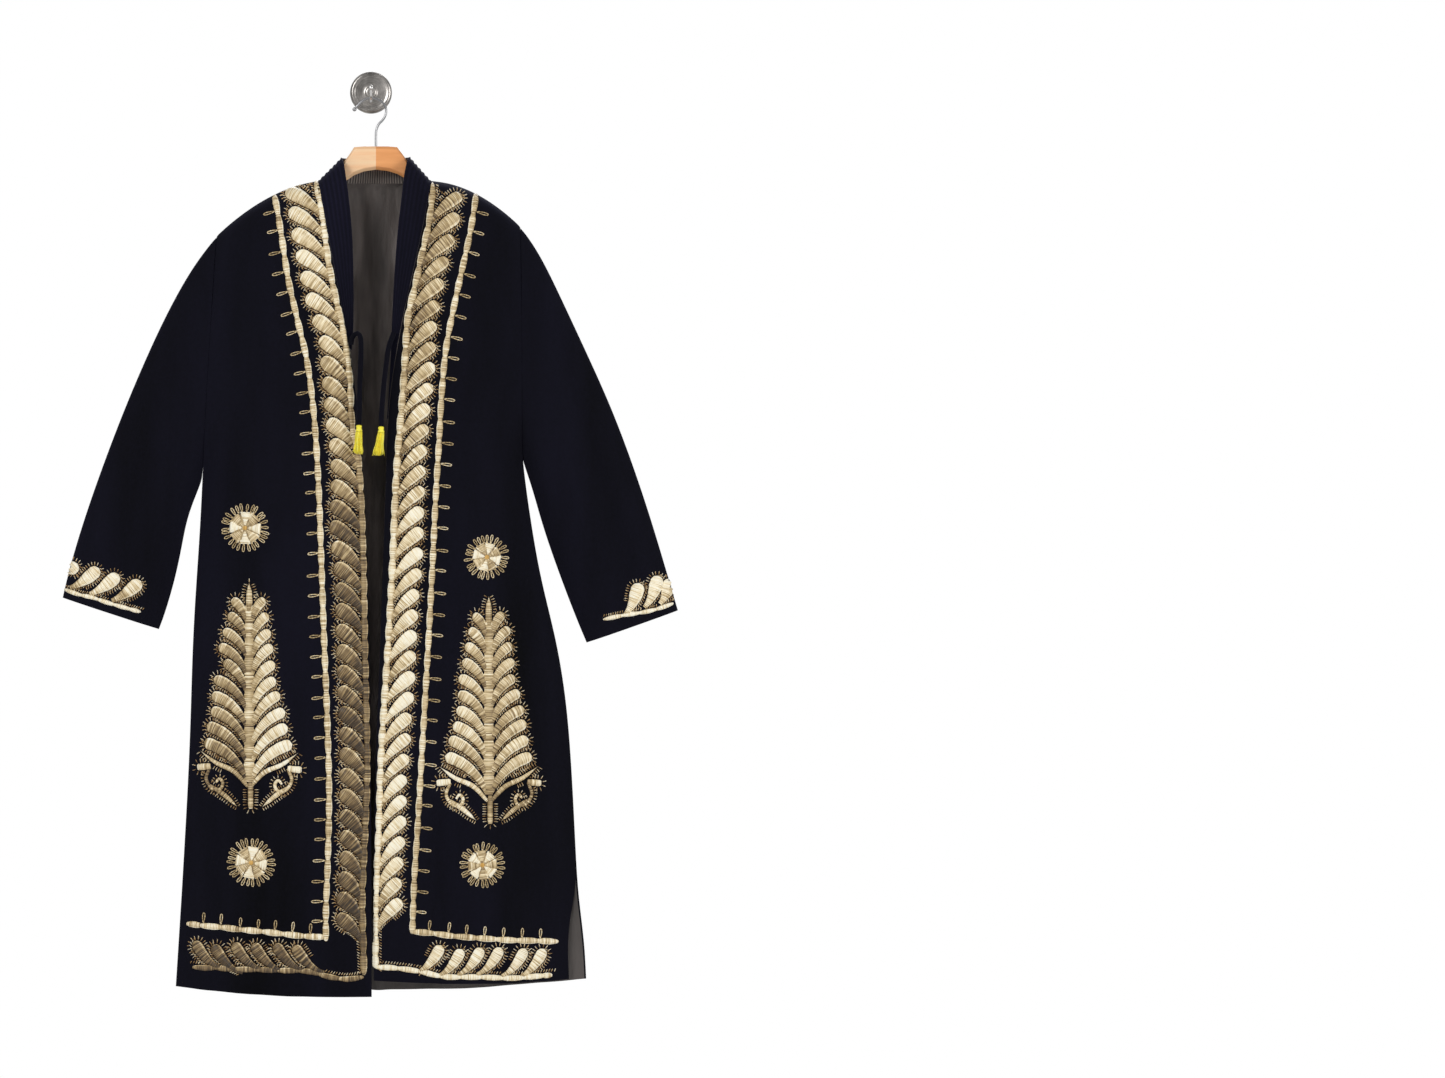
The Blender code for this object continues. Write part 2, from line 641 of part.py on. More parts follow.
class Path:
    """A smooth line over a panel, measured along its length."""

    def __init__(self, points, closed=False, step=4.0):
        points = np.asarray(points, float)
        if closed:
            points = np.vstack([points, points[:1]])
        length = np.concatenate([[0], np.cumsum(np.linalg.norm(np.diff(points, axis=0), axis=1))])
        fine = np.arange(0, length[-1] + step / 2, step)
        if closed:
            wave = 2 * math.pi * fine / length[-1]
            middle = points[:-1].mean(axis=0)
            radius = np.linalg.norm(points[0] - middle)
            self.points = np.stack([middle[0] + radius * np.sin(wave), middle[1] + radius * np.cos(wave)], axis=1)
        else:
            self.points = np.array([[smooth(points[:, 0], length, at), smooth(points[:, 1], length, at)]
                                    for at in fine])
        self.along = np.concatenate([[0], np.cumsum(np.linalg.norm(np.diff(self.points, axis=0), axis=1))])
        self.length = self.along[-1]

    def at(self, along):
        return np.array([np.interp(along, self.along, self.points[:, k]) for k in (0, 1)])

    def heading(self, along, reach=3.0):
        ahead = self.at(min(self.length, along + reach)) - self.at(max(0.0, along - reach))
        return ahead / np.linalg.norm(ahead)

    def nearest(self, x, z):
        return float(self.along[np.argmin(np.linalg.norm(self.points - (x, z), axis=1))])


PETAL_WIDTHS = {
    2: ((0.42, 0.34), (0.84, 0.46)),
    3: ((0.30, 0.27), (0.62, 0.47), (0.88, 0.42)),
    5: ((0.18, 0.19), (0.36, 0.31), (0.54, 0.43), (0.72, 0.48), (0.90, 0.40)),
}


class Relief:
    """Padded stitches on a panel: one closed body of stems and the petals that grow from them."""

    def __init__(self, panel):
        self.panel = panel
        self.points = []
        self.faces = []
        self.stacks = []      # a point, the points it stands over, and how far

    def add(self, place, height):
        self.points.append(self.panel.lift(place[0], place[1], STITCH_GAP + height))
        return len(self.points) - 1

    def petal(self, root, root_ids, petal):
        """A petal between two points of a stem, wide and round at its far end."""
        (top_a, low_a), (top_b, low_b) = root_ids
        direction = np.array([math.cos(petal["angle"]), math.sin(petal["angle"])])
        sideways = np.array([-direction[1], direction[0]])
        if np.dot(petal["toward_b"], sideways) < 0:
            sideways = -sideways
        last = (top_a, top_b, None, low_a, low_b)
        for along, half in PETAL_WIDTHS[petal["sections"]]:
            bow = petal["bow"] * 4 * along * (1 - along)
            middle = root + direction * along * petal["length"] + sideways * bow
            a = self.add(middle - sideways * half * petal["width"], 0.0)
            b = self.add(middle + sideways * half * petal["width"], 0.0)
            crown = self.add(middle, STITCH_CROWN)
            self.stacks.append((crown, (a, b), STITCH_CROWN * 0.7))
            if last[2] is None:
                self.faces += [(last[0], a, crown), (last[0], crown, last[1]), (last[1], crown, b)]
                self.faces += [(last[0], last[3], a), (last[1], b, last[4])]
                self.faces += [(last[3], last[4], b), (last[3], b, a)]
            else:
                self.faces += strip_faces([last[0], last[2], last[1]], [a, crown, b])
                self.faces += strip_faces([last[1], last[0]], [b, a])
            last = (a, b, crown, a, b)
        tip = self.add(root + direction * petal["length"], 0.0)
        self.faces += [(last[0], tip, last[2]), (last[2], tip, last[1]), (last[0], last[1], tip)]

    def stem(self, path, width, side, petals, closed=False, step=34.0):
        """A stem along a path, with petals on one side of it."""
        roots = sorted(petals, key=lambda petal: petal["along"])
        stations = []
        for petal in roots:
            stations.append((petal["along"] - petal["root"] / 2, petal))
            stations.append((petal["along"] + petal["root"] / 2, None))
        if not closed:
            stations = [(0.0, None)] + stations + [(path.length, None)]
        filled = []
        for i, (along, petal) in enumerate(stations):
            filled.append((along, petal))
            if petal is None and i + 1 < len(stations):
                extra = int((stations[i + 1][0] - along) / step)
                for k in range(1, extra + 1):
                    filled.append((along + (stations[i + 1][0] - along) * k / (extra + 1), None))
        rings = []
        for along, petal in filled:
            middle = path.at(along)
            heading = path.heading(along)
            out = np.array([heading[1], -heading[0]]) * (1 if side == "right" else -1)
            inner = self.add(middle - out * width / 2, 0.0)
            crown = self.add(middle, STITCH_CROWN * 0.8)
            outer = self.add(middle + out * width / 2, STITCH_EDGE)
            under = self.add(middle + out * width / 2, 0.0)
            self.stacks += [(outer, (under,), STITCH_EDGE), (crown, (inner, under), STITCH_CROWN * 0.7)]
            rings.append((inner, crown, outer, under, petal, out, heading, middle))
        pairs = list(zip(rings, rings[1:] + rings[:1]))
        if not closed:
            pairs = pairs[:-1]
            for end in (rings[0], rings[-1]):
                self.faces += [(end[0], end[1], end[2]), (end[0], end[2], end[3])]
        for first, second in pairs:
            self.faces += strip_faces([first[0], first[1], first[2]], [second[0], second[1], second[2]])
            self.faces += strip_faces([first[3], first[0]], [second[3], second[0]])
            petal = first[4]
            if petal is None:
                self.faces += strip_faces([first[2], first[3]], [second[2], second[3]])
                continue
            out = (first[5] + second[5]) / 2
            lean = petal["lean"]
            pointing = out * math.cos(lean) - first[6] * math.sin(lean)
            petal = dict(petal, angle=math.atan2(pointing[1], pointing[0]), toward_b=first[6])
            root = (first[7] + second[7]) / 2 + out * width / 2
            self.petal(root, ((first[2], first[3]), (second[2], second[3])), petal)

    def two_sided(self, path, width, leaves, top):
        """A stem with the same leaves on both sides and one at its end."""
        stations = [(0.0, None)]
        for leaf in leaves:
            stations.append((leaf["along"] - leaf["root"] / 2, leaf))
            stations.append((leaf["along"] + leaf["root"] / 2, None))
        stations.append((path.length, None))
        rings = []
        for along, leaf in stations:
            middle = path.at(along)
            heading = path.heading(along)
            out = np.array([heading[1], -heading[0]])
            ids = []
            for direction in (1, -1):
                ids.append((self.add(middle + out * direction * width / 2, STITCH_EDGE),
                            self.add(middle + out * direction * width / 2, 0.0)))
            crown = self.add(middle, STITCH_CROWN * 0.9)
            for upper, lower in ids:
                self.stacks.append((upper, (lower,), STITCH_EDGE))
            self.stacks.append((crown, [lower for upper, lower in ids], STITCH_CROWN * 0.7))
            rings.append((ids, crown, leaf, out, heading, middle))
        for end in (rings[0], rings[-1]):
            (top_a, low_a), (top_b, low_b) = end[0]
            if end is rings[0]:
                self.faces += [(top_a, end[1], low_a), (end[1], low_b, low_a), (end[1], top_b, low_b)]
        last = rings[-1]
        (top_a, low_a), (top_b, low_b) = last[0]
        tip = self.add((last[5][0], top), 0.0)
        shoulder_a = self.add((last[5][0] + 6, top - 16), 0.0)
        shoulder_b = self.add((last[5][0] - 6, top - 16), 0.0)
        crown = self.add((last[5][0], top - 16), STITCH_CROWN)
        self.faces += strip_faces([top_a, last[1], top_b], [shoulder_a, crown, shoulder_b])
        self.faces += strip_faces([low_b, low_a], [shoulder_b, shoulder_a])
        self.faces += [(top_a, low_a, shoulder_a), (top_b, shoulder_b, low_b)]
        self.faces += [(shoulder_a, crown, tip), (crown, shoulder_b, tip), (shoulder_a, tip, shoulder_b)]
        for first, second in zip(rings, rings[1:]):
            (top_a, low_a), (top_b, low_b) = first[0]
            (next_a, under_a), (next_b, under_b) = second[0]
            self.faces += strip_faces([top_a, first[1], top_b], [next_a, second[1], next_b])
            self.faces += strip_faces([low_b, low_a], [under_b, under_a])
            for direction, here, there in ((1, (top_a, low_a), (next_a, under_a)),
                                           (-1, (top_b, low_b), (next_b, under_b))):
                leaf = first[2]
                if leaf is None:
                    self.faces += strip_faces(here, there)
                    continue
                out = first[3] * direction
                lean = leaf["lean"]
                pointing = out * math.cos(lean) - first[4] * math.sin(lean)
                made = dict(leaf, angle=math.atan2(pointing[1], pointing[0]), toward_b=first[4])
                root = (first[5] + second[5]) / 2 + out * width / 2
                self.petal(root, (here, there), made)

    def settle(self):
        """Raise each face that dips towards the velvet where the cloth turns under it."""
        places = np.array(self.points)
        faces = np.array(self.faces)
        shares = np.array([(1 / 3, 1 / 3, 1 / 3)] + [tuple(np.roll((k / 4, 1 - k / 4, 0), turn))
                                                      for turn in range(3) for k in (1, 2, 3)])
        spots = np.einsum("sk,fkd->fsd", shares, places[faces])
        under = np.array([[self.panel.height(x, z) for x, y, z in face] for face in spots])
        for _ in range(SETTLING):
            spots = np.einsum("sk,fk->fs", shares, places[faces][:, :, 1])
            short = STITCH_GAP * 0.7 - (spots - under) * self.panel.outward
            need = np.max(short, axis=1)
            for face in np.nonzero(need > 0)[0]:
                places[faces[face], 1] += self.panel.outward * need[face] * 0.7
            for over, below, height in self.stacks:
                short = height - (places[over, 1] - np.mean(places[list(below), 1])) * self.panel.outward
                places[over, 1] += self.panel.outward * max(0.0, short)
        self.points = [tuple(place) for place in places]

    def body(self, name, material):
        self.settle()
        return make_object(name, self.points, self.faces, material)


def petal_row(path, start, end, step, length, width, lean, bow=2.0, root=7.0, sections=2):
    """Evenly spaced petals along part of a path."""
    count = max(1, int(round(abs(end - start) / step)) + 1)
    return [{"along": start + (end - start) * i / max(1, count - 1), "length": length, "width": width,
             "lean": lean, "bow": bow, "root": root, "sections": sections} for i in range(count)]


def garland(name, panel, stem, ends, hem_x, side, material):
    """The wide band of petals down one front and along its hem."""
    path = Path(path_points(stem))
    start = path.nearest(ends["x"][0], ends["z"][0])
    end = path.nearest(ends["x"][1], ends["z"][1])
    petals = petal_row(path, start, end, PETAL_STEP, 48, 20, math.radians(42))
    for petal in petals:
        share = (petal["along"] - start) / (end - start)
        petal["lean"] = math.radians(56 - 14 * min(1.0, share * 4))
        if share < 0.12:
            petal["sections"] = 5
    for x in hem_x:
        petals.append({"along": path.nearest(x, -1250), "length": 40, "width": 16, "bow": -2.0, "root": 7.0,
                       "lean": math.radians(-38), "sections": 2})
    relief = Relief(panel)
    relief.stem(path, STEM, side, petals)
    return relief.body(name, material)


def outer_line(name, panel, line, material):
    relief = Relief(panel)
    relief.stem(Path(path_points(line)), LINE, "right", [], step=30.0)
    return relief.body(name, material)


def cypress(name, panel, row, material):
    """A tree of curved leaves on both sides of a stem, with two low branches."""
    x, top, height, half = (CYPRESS[key][row] for key in ("x", "top", "height", "half"))
    foot = top - height
    relief = Relief(panel)
    stem = Path([(x, foot), (x + 1, top - height * 0.5), (x, top - 46)])
    leaves = []
    for i in range(CYPRESS_LEAVES):
        share = i / (CYPRESS_LEAVES - 1)
        along = height * (0.13 + 0.60 * share)
        reach = half * (1.28 - 0.66 * share)
        leaves.append({"along": along, "length": reach, "width": 19 - 3 * share, "bow": -5.0, "root": 7.0,
                       "lean": math.radians(-(38 + 14 * share)), "sections": 3})
    relief.two_sided(stem, 8.0, leaves, top)
    return relief.body(name, material)


def disc(name, panel, x, z, radius, material, sides=14):
    """A round flower, raised in the middle."""
    relief = Relief(panel)
    rim = [relief.add((x + radius * math.cos(turn), z + radius * math.sin(turn)), 0.0)
           for turn in (2 * math.pi * i / sides for i in range(sides))]
    ring = [relief.add((x + radius * 0.8 * math.cos(turn), z + radius * 0.8 * math.sin(turn)), STITCH_CROWN)
            for turn in (2 * math.pi * i / sides for i in range(sides))]
    middle = relief.add((x, z), STITCH_CROWN * 1.25)
    under = relief.add((x, z), 0.0)
    for i in range(sides):
        j = (i + 1) % sides
        relief.faces += [(rim[i], rim[j], ring[j]), (rim[i], ring[j], ring[i])]
        relief.faces += [(ring[i], ring[j], middle), (rim[j], rim[i], under)]
    return relief.body(name, material)


def wreath(name, panel, material):
    """A ring of comma petals on the upper back."""
    ring = WREATH["ring"]
    turns = [2 * math.pi * i / 24 for i in range(24)]
    circle = [(WREATH["x"] + ring * math.sin(turn), WREATH["z"] + ring * math.cos(turn)) for turn in turns]
    path = Path(circle, closed=True)
    step = path.length / WREATH["petals"]
    petals = [{"along": (i + 0.5) * step, "length": WREATH["length"], "width": WREATH["width"], "bow": 2.0,
               "root": 7.0, "lean": math.radians(16), "sections": 2} for i in range(WREATH["petals"])]
    relief = Relief(panel)
    relief.stem(path, 7.0, "left", petals, closed=True)
    return relief.body(name, material)


def necklace(name, panel, material):
    """Seven petals that fan out below the back of the neck."""
    path = Path([(NECKLACE["x"] - 30, NECKLACE["z"] + 1), (NECKLACE["x"], NECKLACE["z"] - 4),
                 (NECKLACE["x"] + 30, NECKLACE["z"] + 1)])
    petals = []
    count = NECKLACE["petals"]
    for i in range(count):
        share = 2 * i / (count - 1) - 1
        length = NECKLACE["short"] + (NECKLACE["length"] - NECKLACE["short"]) * abs(share) ** 0.8
        petals.append({"along": path.length * (0.5 + 0.43 * share), "length": length, "width": 20, "bow": 0.0,
                       "root": 6.0, "lean": math.radians(-NECKLACE["spread"] * share), "sections": 5})
    relief = Relief(panel)
    relief.stem(path, 6.0, "right", petals)
    return relief.body(name, material)


def back_hem(name, panel, row, material):
    start = (BACK_HEM["start_x"][row], BACK_HEM["start_z"][row])
    end = (BACK_HEM["end_x"][row], BACK_HEM["end_z"][row])
    path = Path([start, ((start[0] + end[0]) / 2, (start[1] + end[1]) / 2 - 3), end])
    count = int(BACK_HEM["petals"][row])
    petals = petal_row(path, 26, 26 + 26.5 * (count - 1), 26.5, 38, 15, math.radians(44), bow=1.5)
    relief = Relief(panel)
    relief.stem(path, 6.0, "right", petals)
    return relief.body(name, material)


def cuff_petals(name, side, sleeve, back, material):
    """A short garland above the cuff, on the front or the back of a sleeve."""
    panel = sleeve_panel(side, sleeve, back)
    outer = np.array([sleeve["outer_x"][-1], sleeve["outer_z"][-1]])
    inner = np.array([sleeve["inner_x"][-1], sleeve["inner_z"][-1]])
    along = (inner - outer) / np.linalg.norm(inner - outer)
    up = np.array([-along[1], along[0]])
    if up[1] < 0:
        up = -up
    start = outer + along * 18 + up * 9
    end = outer + along * 116 + up * 9
    path = Path([start, (start + end) / 2, end])
    facing = "left" if side < 0 else "right"
    petals = petal_row(path, 22, 92, 23, 34, 14, math.radians(40), bow=-1.5, root=6.0)
    relief = Relief(panel)
    relief.stem(path, 5.5, facing, petals)
    return relief.body(name, material)


def tube(name, points, diameter, material, resolution=2):
    """A round rod or cord through points, with closed ends."""
    curve = bpy.data.curves.new(name, "CURVE")
    curve.dimensions = "3D"
    curve.bevel_depth = diameter / 2 * MM
    curve.bevel_resolution = resolution
    curve.use_fill_caps = True
    curve.render_resolution_u = 0
    spline = curve.splines.new("POLY")
    spline.points.add(len(points) - 1)
    for place, point in zip(spline.points, points):
        place.co = (*[value * MM for value in point], 1.0)
    curve.materials.append(material)
    made = bpy.data.objects.new(name, curve)
    bpy.context.scene.collection.objects.link(made)
    return made


def smooth_route(points, step):
    """Points at an even step along a smooth curve through a few."""
    points = np.asarray(points, float)
    length = np.concatenate([[0], np.cumsum(np.linalg.norm(np.diff(points, axis=0), axis=1))])
    count = max(2, int(round(length[-1] / step)) + 1)
    return [[smooth(points[:, k], length, at) for k in range(points.shape[1])]
            for at in np.linspace(0, length[-1], count)]


def turned(name, sections, sides, material):
    """A closed body through rings: each section has a middle, a radius and its two axes."""
    points = []
    faces = []
    for middle, radius, first, second in sections:
        for i in range(sides):
            turn = 2 * math.pi * i / sides
            points.append(np.array(middle) + radius * (np.array(first) * math.cos(turn)
                                                       + np.array(second) * math.sin(turn)))
    faces += grid_faces(len(sections), sides, 0, True)
    for start in (0, (len(sections) - 1) * sides):
        points.append(np.mean(points[start:start + sides], axis=0))
        hub = len(points) - 1
        faces += [(start + i, start + (i + 1) % sides, hub) for i in range(sides)]
    return make_object(name, points, faces, material)


def rod_with_ball(name, route, diameter, ball, sides, material):
    """A bent rod whose last point carries a ball."""
    route = [np.array(point, float) for point in route]
    sections = []
    plane = np.cross(route[1] - route[0], route[len(route) // 2] - route[0])
    plane /= np.linalg.norm(plane)
    for i, point in enumerate(route):
        heading = route[min(i + 1, len(route) - 1)] - route[max(i - 1, 0)]
        heading /= np.linalg.norm(heading)
        sections.append((point, diameter / 2, plane, np.cross(heading, plane)))
    heading = route[-1] - route[-2]
    heading /= np.linalg.norm(heading)
    middle = route[-1] + heading * ball * 0.8
    across = np.cross(heading, plane)
    for turn in (-35, -5, 25, 55, 80):
        angle = math.radians(turn)
        sections.append((middle + heading * ball * math.sin(angle), ball * math.cos(angle), plane, across))
    return turned(name, sections, sides, material)


def wall_plate(name, material):
    axes = ((1, 0, 0), (0, 0, 1))
    sections = [((0, -out, 0), radius, *axes) for out, radius in zip(PLATE["out"], PLATE["radius"])]
    return turned(name, sections, PLATE_SIDES, material)


def shoulder_line(x):
    """Height of the shoulder seam at x."""
    side = 0 if x < 0 else 1
    end_z = ANCHORS["side_left" if x < 0 else "side_right"][0]
    share = (x - NECK_X[side]) / (SHOULDER_X[side] - NECK_X[side])
    return NECK_Z + (end_z - NECK_Z) * share + ANCHORS["crown_front"][0] * 4 * share * (1 - share)


def hanger(name, material):
    """The contoured board under the shoulders."""
    rows = []
    for x, top, bottom in zip(*HANGER.values()):
        top = top or shoulder_line(x) - HANGER_SEAT
        low = bottom + HANGER_ROUND
        rows.append([(x, MID_Y - HANGER_RIDGE, top), (x, MID_Y + HANGER_RIDGE, top),
                     (x, MID_Y + HANGER_HALF, top - HANGER_ROUND), (x, MID_Y + HANGER_HALF, low),
                     (x, MID_Y + HANGER_RIDGE, bottom), (x, MID_Y - HANGER_RIDGE, bottom),
                     (x, MID_Y - HANGER_HALF, low), (x, MID_Y - HANGER_HALF, top - HANGER_ROUND)])
    grid = np.array(rows)
    points = list(grid.reshape(-1, 3))
    sides = grid.shape[1]
    faces = grid_faces(len(rows), sides, 0, True)
    for start in (0, (len(rows) - 1) * sides):
        points.append(np.mean(grid[0 if start == 0 else -1], axis=0))
        hub = len(points) - 1
        faces += [(start + i, start + (i + 1) % sides, hub) for i in range(sides)]
    return make_object(name, points, faces, material)


def tassel(name, tie, lean, material):
    """A bound head with strands that hang from it and stand apart."""
    x, y, z = (tie[key][-1] for key in "xyz")
    top = z - SEAM
    head_low = top - TASSEL_HEAD
    sides = 8
    points = []
    faces = []
    radii = ((0.0, 3.2), (1.5, 4.0), (5.0, 3.7), (TASSEL_HEAD, 4.6))
    for down, radius in radii:
        for i in range(sides):
            turn = 2 * math.pi * i / sides
            points.append((x + radius * math.cos(turn), y + radius * 0.8 * math.sin(turn), top - down))
    faces += grid_faces(len(radii), sides, 0, True)
    points.append((x, y, top))
    faces += [(i, (i + 1) % sides, len(points) - 1) for i in range(sides)]
    lowest = (len(radii) - 1) * sides
    points.append((x, y, head_low))
    under = len(points) - 1
    for i in range(sides):
        corner = (lowest + i, lowest + (i + 1) % sides, under)
        root = np.mean([points[k] for k in corner], axis=0)
        faces += strands(points, corner, root, lean, x, y, z - TASSEL_LENGTH, i)
    return make_object(name, points, faces, material)


def strands(points, corner, root, lean, x, y, bottom, index):
    """Three strands from one sector of a tassel's head, each a thin pyramid on a third of the sector."""
    faces = []
    points.append(tuple(root))
    hub = len(points) - 1
    for k in range(3):
        share = (corner[k], corner[(k + 1) % 3], hub)
        base = np.mean([points[i] for i in share], axis=0)
        spread = 1.55 + 0.25 * ((index + k) % 3)
        tip = (x + lean + (base[0] - x) * spread, y + (base[1] - y) * spread, bottom + 1.5 * ((index * 3 + k) % 3))
        points.append(tip)
        end = len(points) - 1
        faces += [(share[i], share[(i + 1) % 3], end) for i in range(3)]
    return faces


def build_robe():
    clear_scene()
    velvet = finish("velvet", (0.010, 0.011, 0.045), 0.85)
    lining = finish("lining", (0.045, 0.038, 0.034), 0.55)
    gold = finish("gold_thread", (0.62, 0.50, 0.28), 0.45)
    tassel_yellow = finish("tassel_thread", (0.85, 0.62, 0.03), 0.7)
    wood = finish("hanger_wood", (0.72, 0.40, 0.20), 0.45)
    steel = finish("wire_steel", (0.70, 0.70, 0.72), 0.25, 1.0)
    plate = finish("plate_steel", (0.55, 0.54, 0.53), 0.3, 1.0)

    left = front_panel(-1)
    right = front_panel(1)
    back = back_panel()
    for name, panel in (("front_left", left), ("front_right", right), ("back", back)):
        cloth_wall(name, panel.points, panel.inside(VELVET), velvet)
        lining_of("lining_" + name, panel, lining)
    for name, side, sleeve in (("left", -1, SLEEVE_LEFT), ("right", 1, SLEEVE_RIGHT)):
        cloth_wall("sleeve_" + name, sleeve_grid(side, sleeve, SLEEVE_SECTIONS, 0.0),
                   sleeve_grid(side, sleeve, SLEEVE_SECTIONS, VELVET), velvet, wrap=True)
        cuff = SLEEVE_SECTIONS[-3:]
        cloth_wall("lining_cuff_" + name, sleeve_grid(side, sleeve, cuff, VELVET + SEAM),
                   sleeve_grid(side, sleeve, cuff, VELVET + SEAM + LINING), lining, wrap=True)
        for half, facing in (("front", False), ("back", True)):
            cuff_petals("cuff_petals_" + half + "_" + name, side, sleeve, facing, gold)
    neckband("neckband", left, right, back, velvet)

    garland("garland_left", left, STEM_LEFT, PETALS_LEFT, HEM_PETALS_LEFT, "right", gold)
    garland("garland_right", right, STEM_RIGHT, PETALS_RIGHT, HEM_PETALS_RIGHT, "left", gold)
    outer_line("line_left", left, LINE_LEFT, gold)
    outer_line("line_right", right, LINE_RIGHT, gold)
    cypress("cypress_left", left, 0, gold)
    cypress("cypress_right", right, 1, gold)
    for row, (name, panel) in enumerate((("upper_left", left), ("lower_left", left),
                                         ("upper_right", right), ("lower_right", right))):
        x, z, radius = (ROSETTES[key][row] for key in ("x", "z", "radius"))
        disc("rosette_" + name, panel, x, z, radius, gold)
    wreath("wreath", back, gold)
    necklace("necklace", back, gold)
    back_hem("back_hem_right", back, 0, gold)
    back_hem("back_hem_left", back, 1, gold)

    hanger("hanger_wood", wood)
    wire = smooth_route([(x, MID_Y, z) for x, z in zip(*WIRE_ROUTE.values())], 6.0)
    rod_with_ball("hanger_wire", wire, WIRE, WIRE_BALL, 8, steel)
    wall_plate("wall_plate", plate)
    hook = smooth_route([(0, y, z) for y, z in zip(*HOOK_ROUTE.values())], 5.5)
    rod_with_ball("wall_hook", hook, HOOK_ROD, HOOK_BALL, 10, plate)

    for name, tie, lean in (("left", TIE_LEFT, -1.0), ("right", TIE_RIGHT, -4.5)):
        tube("tie_" + name, smooth_route(list(zip(*tie.values())), TIE_STEP), TIE, velvet)
        tassel("tassel_" + name, tie, lean, tassel_yellow)


build_robe()
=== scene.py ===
import math

import bmesh
import bpy
import numpy as np
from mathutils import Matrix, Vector, noise
from mathutils.bvhtree import BVHTree


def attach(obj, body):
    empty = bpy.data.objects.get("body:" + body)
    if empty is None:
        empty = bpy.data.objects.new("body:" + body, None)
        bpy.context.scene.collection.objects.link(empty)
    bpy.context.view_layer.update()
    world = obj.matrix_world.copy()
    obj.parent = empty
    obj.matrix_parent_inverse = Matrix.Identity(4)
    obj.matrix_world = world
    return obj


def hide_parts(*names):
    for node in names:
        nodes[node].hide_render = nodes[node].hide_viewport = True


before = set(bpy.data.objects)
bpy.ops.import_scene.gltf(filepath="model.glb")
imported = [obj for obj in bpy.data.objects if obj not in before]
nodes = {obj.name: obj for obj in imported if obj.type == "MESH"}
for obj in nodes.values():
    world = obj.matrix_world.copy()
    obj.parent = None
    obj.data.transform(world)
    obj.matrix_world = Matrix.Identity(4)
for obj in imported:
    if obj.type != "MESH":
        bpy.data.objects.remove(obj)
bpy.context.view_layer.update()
mm = 0.001
mergeWithin = 0.00002     # metres
midY = -54.0              # the robe's middle plane
print("frame loaded:", len(nodes), "nodes")

# camera, floor and light
photo = {"width": 1445, "height": 1078, "mmPerPixel": 1.42, "robeX": 371, "plateY": 88}
view = {"lens": 85.0, "sensor": 36.0}
floor = {"z": -1650.0, "wide": 6.4, "back": 1.42, "deep": 4.6}
softBoxes = {
    "left": {"at": (-2.3, -3.0, 1.3), "aim": (-0.1, 0.0, -0.6), "size": 1.6, "power": 70.0},
    "right": {"at": (2.6, -2.2, 0.2), "aim": (0.1, 0.0, -0.7), "size": 1.2, "power": 38.0},
    "rear": {"at": (0.4, 3.2, 1.4), "aim": (0.0, 0.0, -0.6), "size": 1.8, "power": 55.0},
}

worldLight = {"lit": 0.38, "seen": 1.0}


def lookFrom(thing, place, target):
    thing.location = place
    thing.rotation_euler = (Vector(target) - Vector(place)).to_track_quat("-Z", "Y").to_euler()


def setCamera():
    wide = photo["width"] * photo["mmPerPixel"] * mm
    middleX = (photo["width"] / 2 - photo["robeX"]) * photo["mmPerPixel"] * mm
    middleZ = (photo["plateY"] - photo["height"] / 2) * photo["mmPerPixel"] * mm
    far = wide * view["lens"] / view["sensor"]
    data = bpy.data.cameras.new("camera")
    data.lens = view["lens"]
    data.sensor_width = view["sensor"]
    data.shift_x = middleX / wide
    camera = bpy.data.objects.new("camera", data)
    bpy.context.scene.collection.objects.link(camera)
    lookFrom(camera, (0.0, midY * mm - far, middleZ), (0.0, 0.0, middleZ))
    bpy.context.scene.camera = camera


def setLight():
    for name, box in softBoxes.items():
        data = bpy.data.lights.new("soft_" + name, "AREA")
        data.size = box["size"]
        data.energy = box["power"]
        lamp = bpy.data.objects.new("soft_" + name, data)
        bpy.context.scene.collection.objects.link(lamp)
        lookFrom(lamp, box["at"], box["aim"])
    world = bpy.data.worlds.new("white")
    world.use_nodes = True
    # the background is seen as white paper, but lights the robe only softly
    background = world.node_tree.nodes["Background"]
    background.inputs["Color"].default_value = (1.0, 1.0, 1.0, 1.0)
    seen = world.node_tree.nodes.new("ShaderNodeLightPath")
    strength = world.node_tree.nodes.new("ShaderNodeMapRange")
    strength.inputs["To Min"].default_value = worldLight["lit"]
    strength.inputs["To Max"].default_value = worldLight["seen"]
    world.node_tree.links.new(seen.outputs["Is Camera Ray"], strength.inputs["Value"])
    world.node_tree.links.new(strength.outputs["Result"], background.inputs["Strength"])
    bpy.context.scene.world = world
    bpy.context.scene.view_settings.view_transform = "Standard"


def layFloor():
    deselectAll()
    bpy.ops.mesh.primitive_plane_add(size=1, location=(0, floor["back"] - floor["deep"] / 2, floor["z"] * mm))
    stage = bpy.context.active_object
    stage.name = "paleFloor"
    stage.scale = (floor["wide"], floor["deep"], 1)
    bpy.ops.object.transform_apply(location=True, rotation=True, scale=True)
    paint = bpy.data.materials.new("palePaper")
    paint.use_nodes = True
    paint.node_tree.nodes["Principled BSDF"].inputs["Base Color"].default_value = (0.93, 0.93, 0.93, 1.0)
    paint.node_tree.nodes["Principled BSDF"].inputs["Roughness"].default_value = 0.9
    stage.data.materials.append(paint)


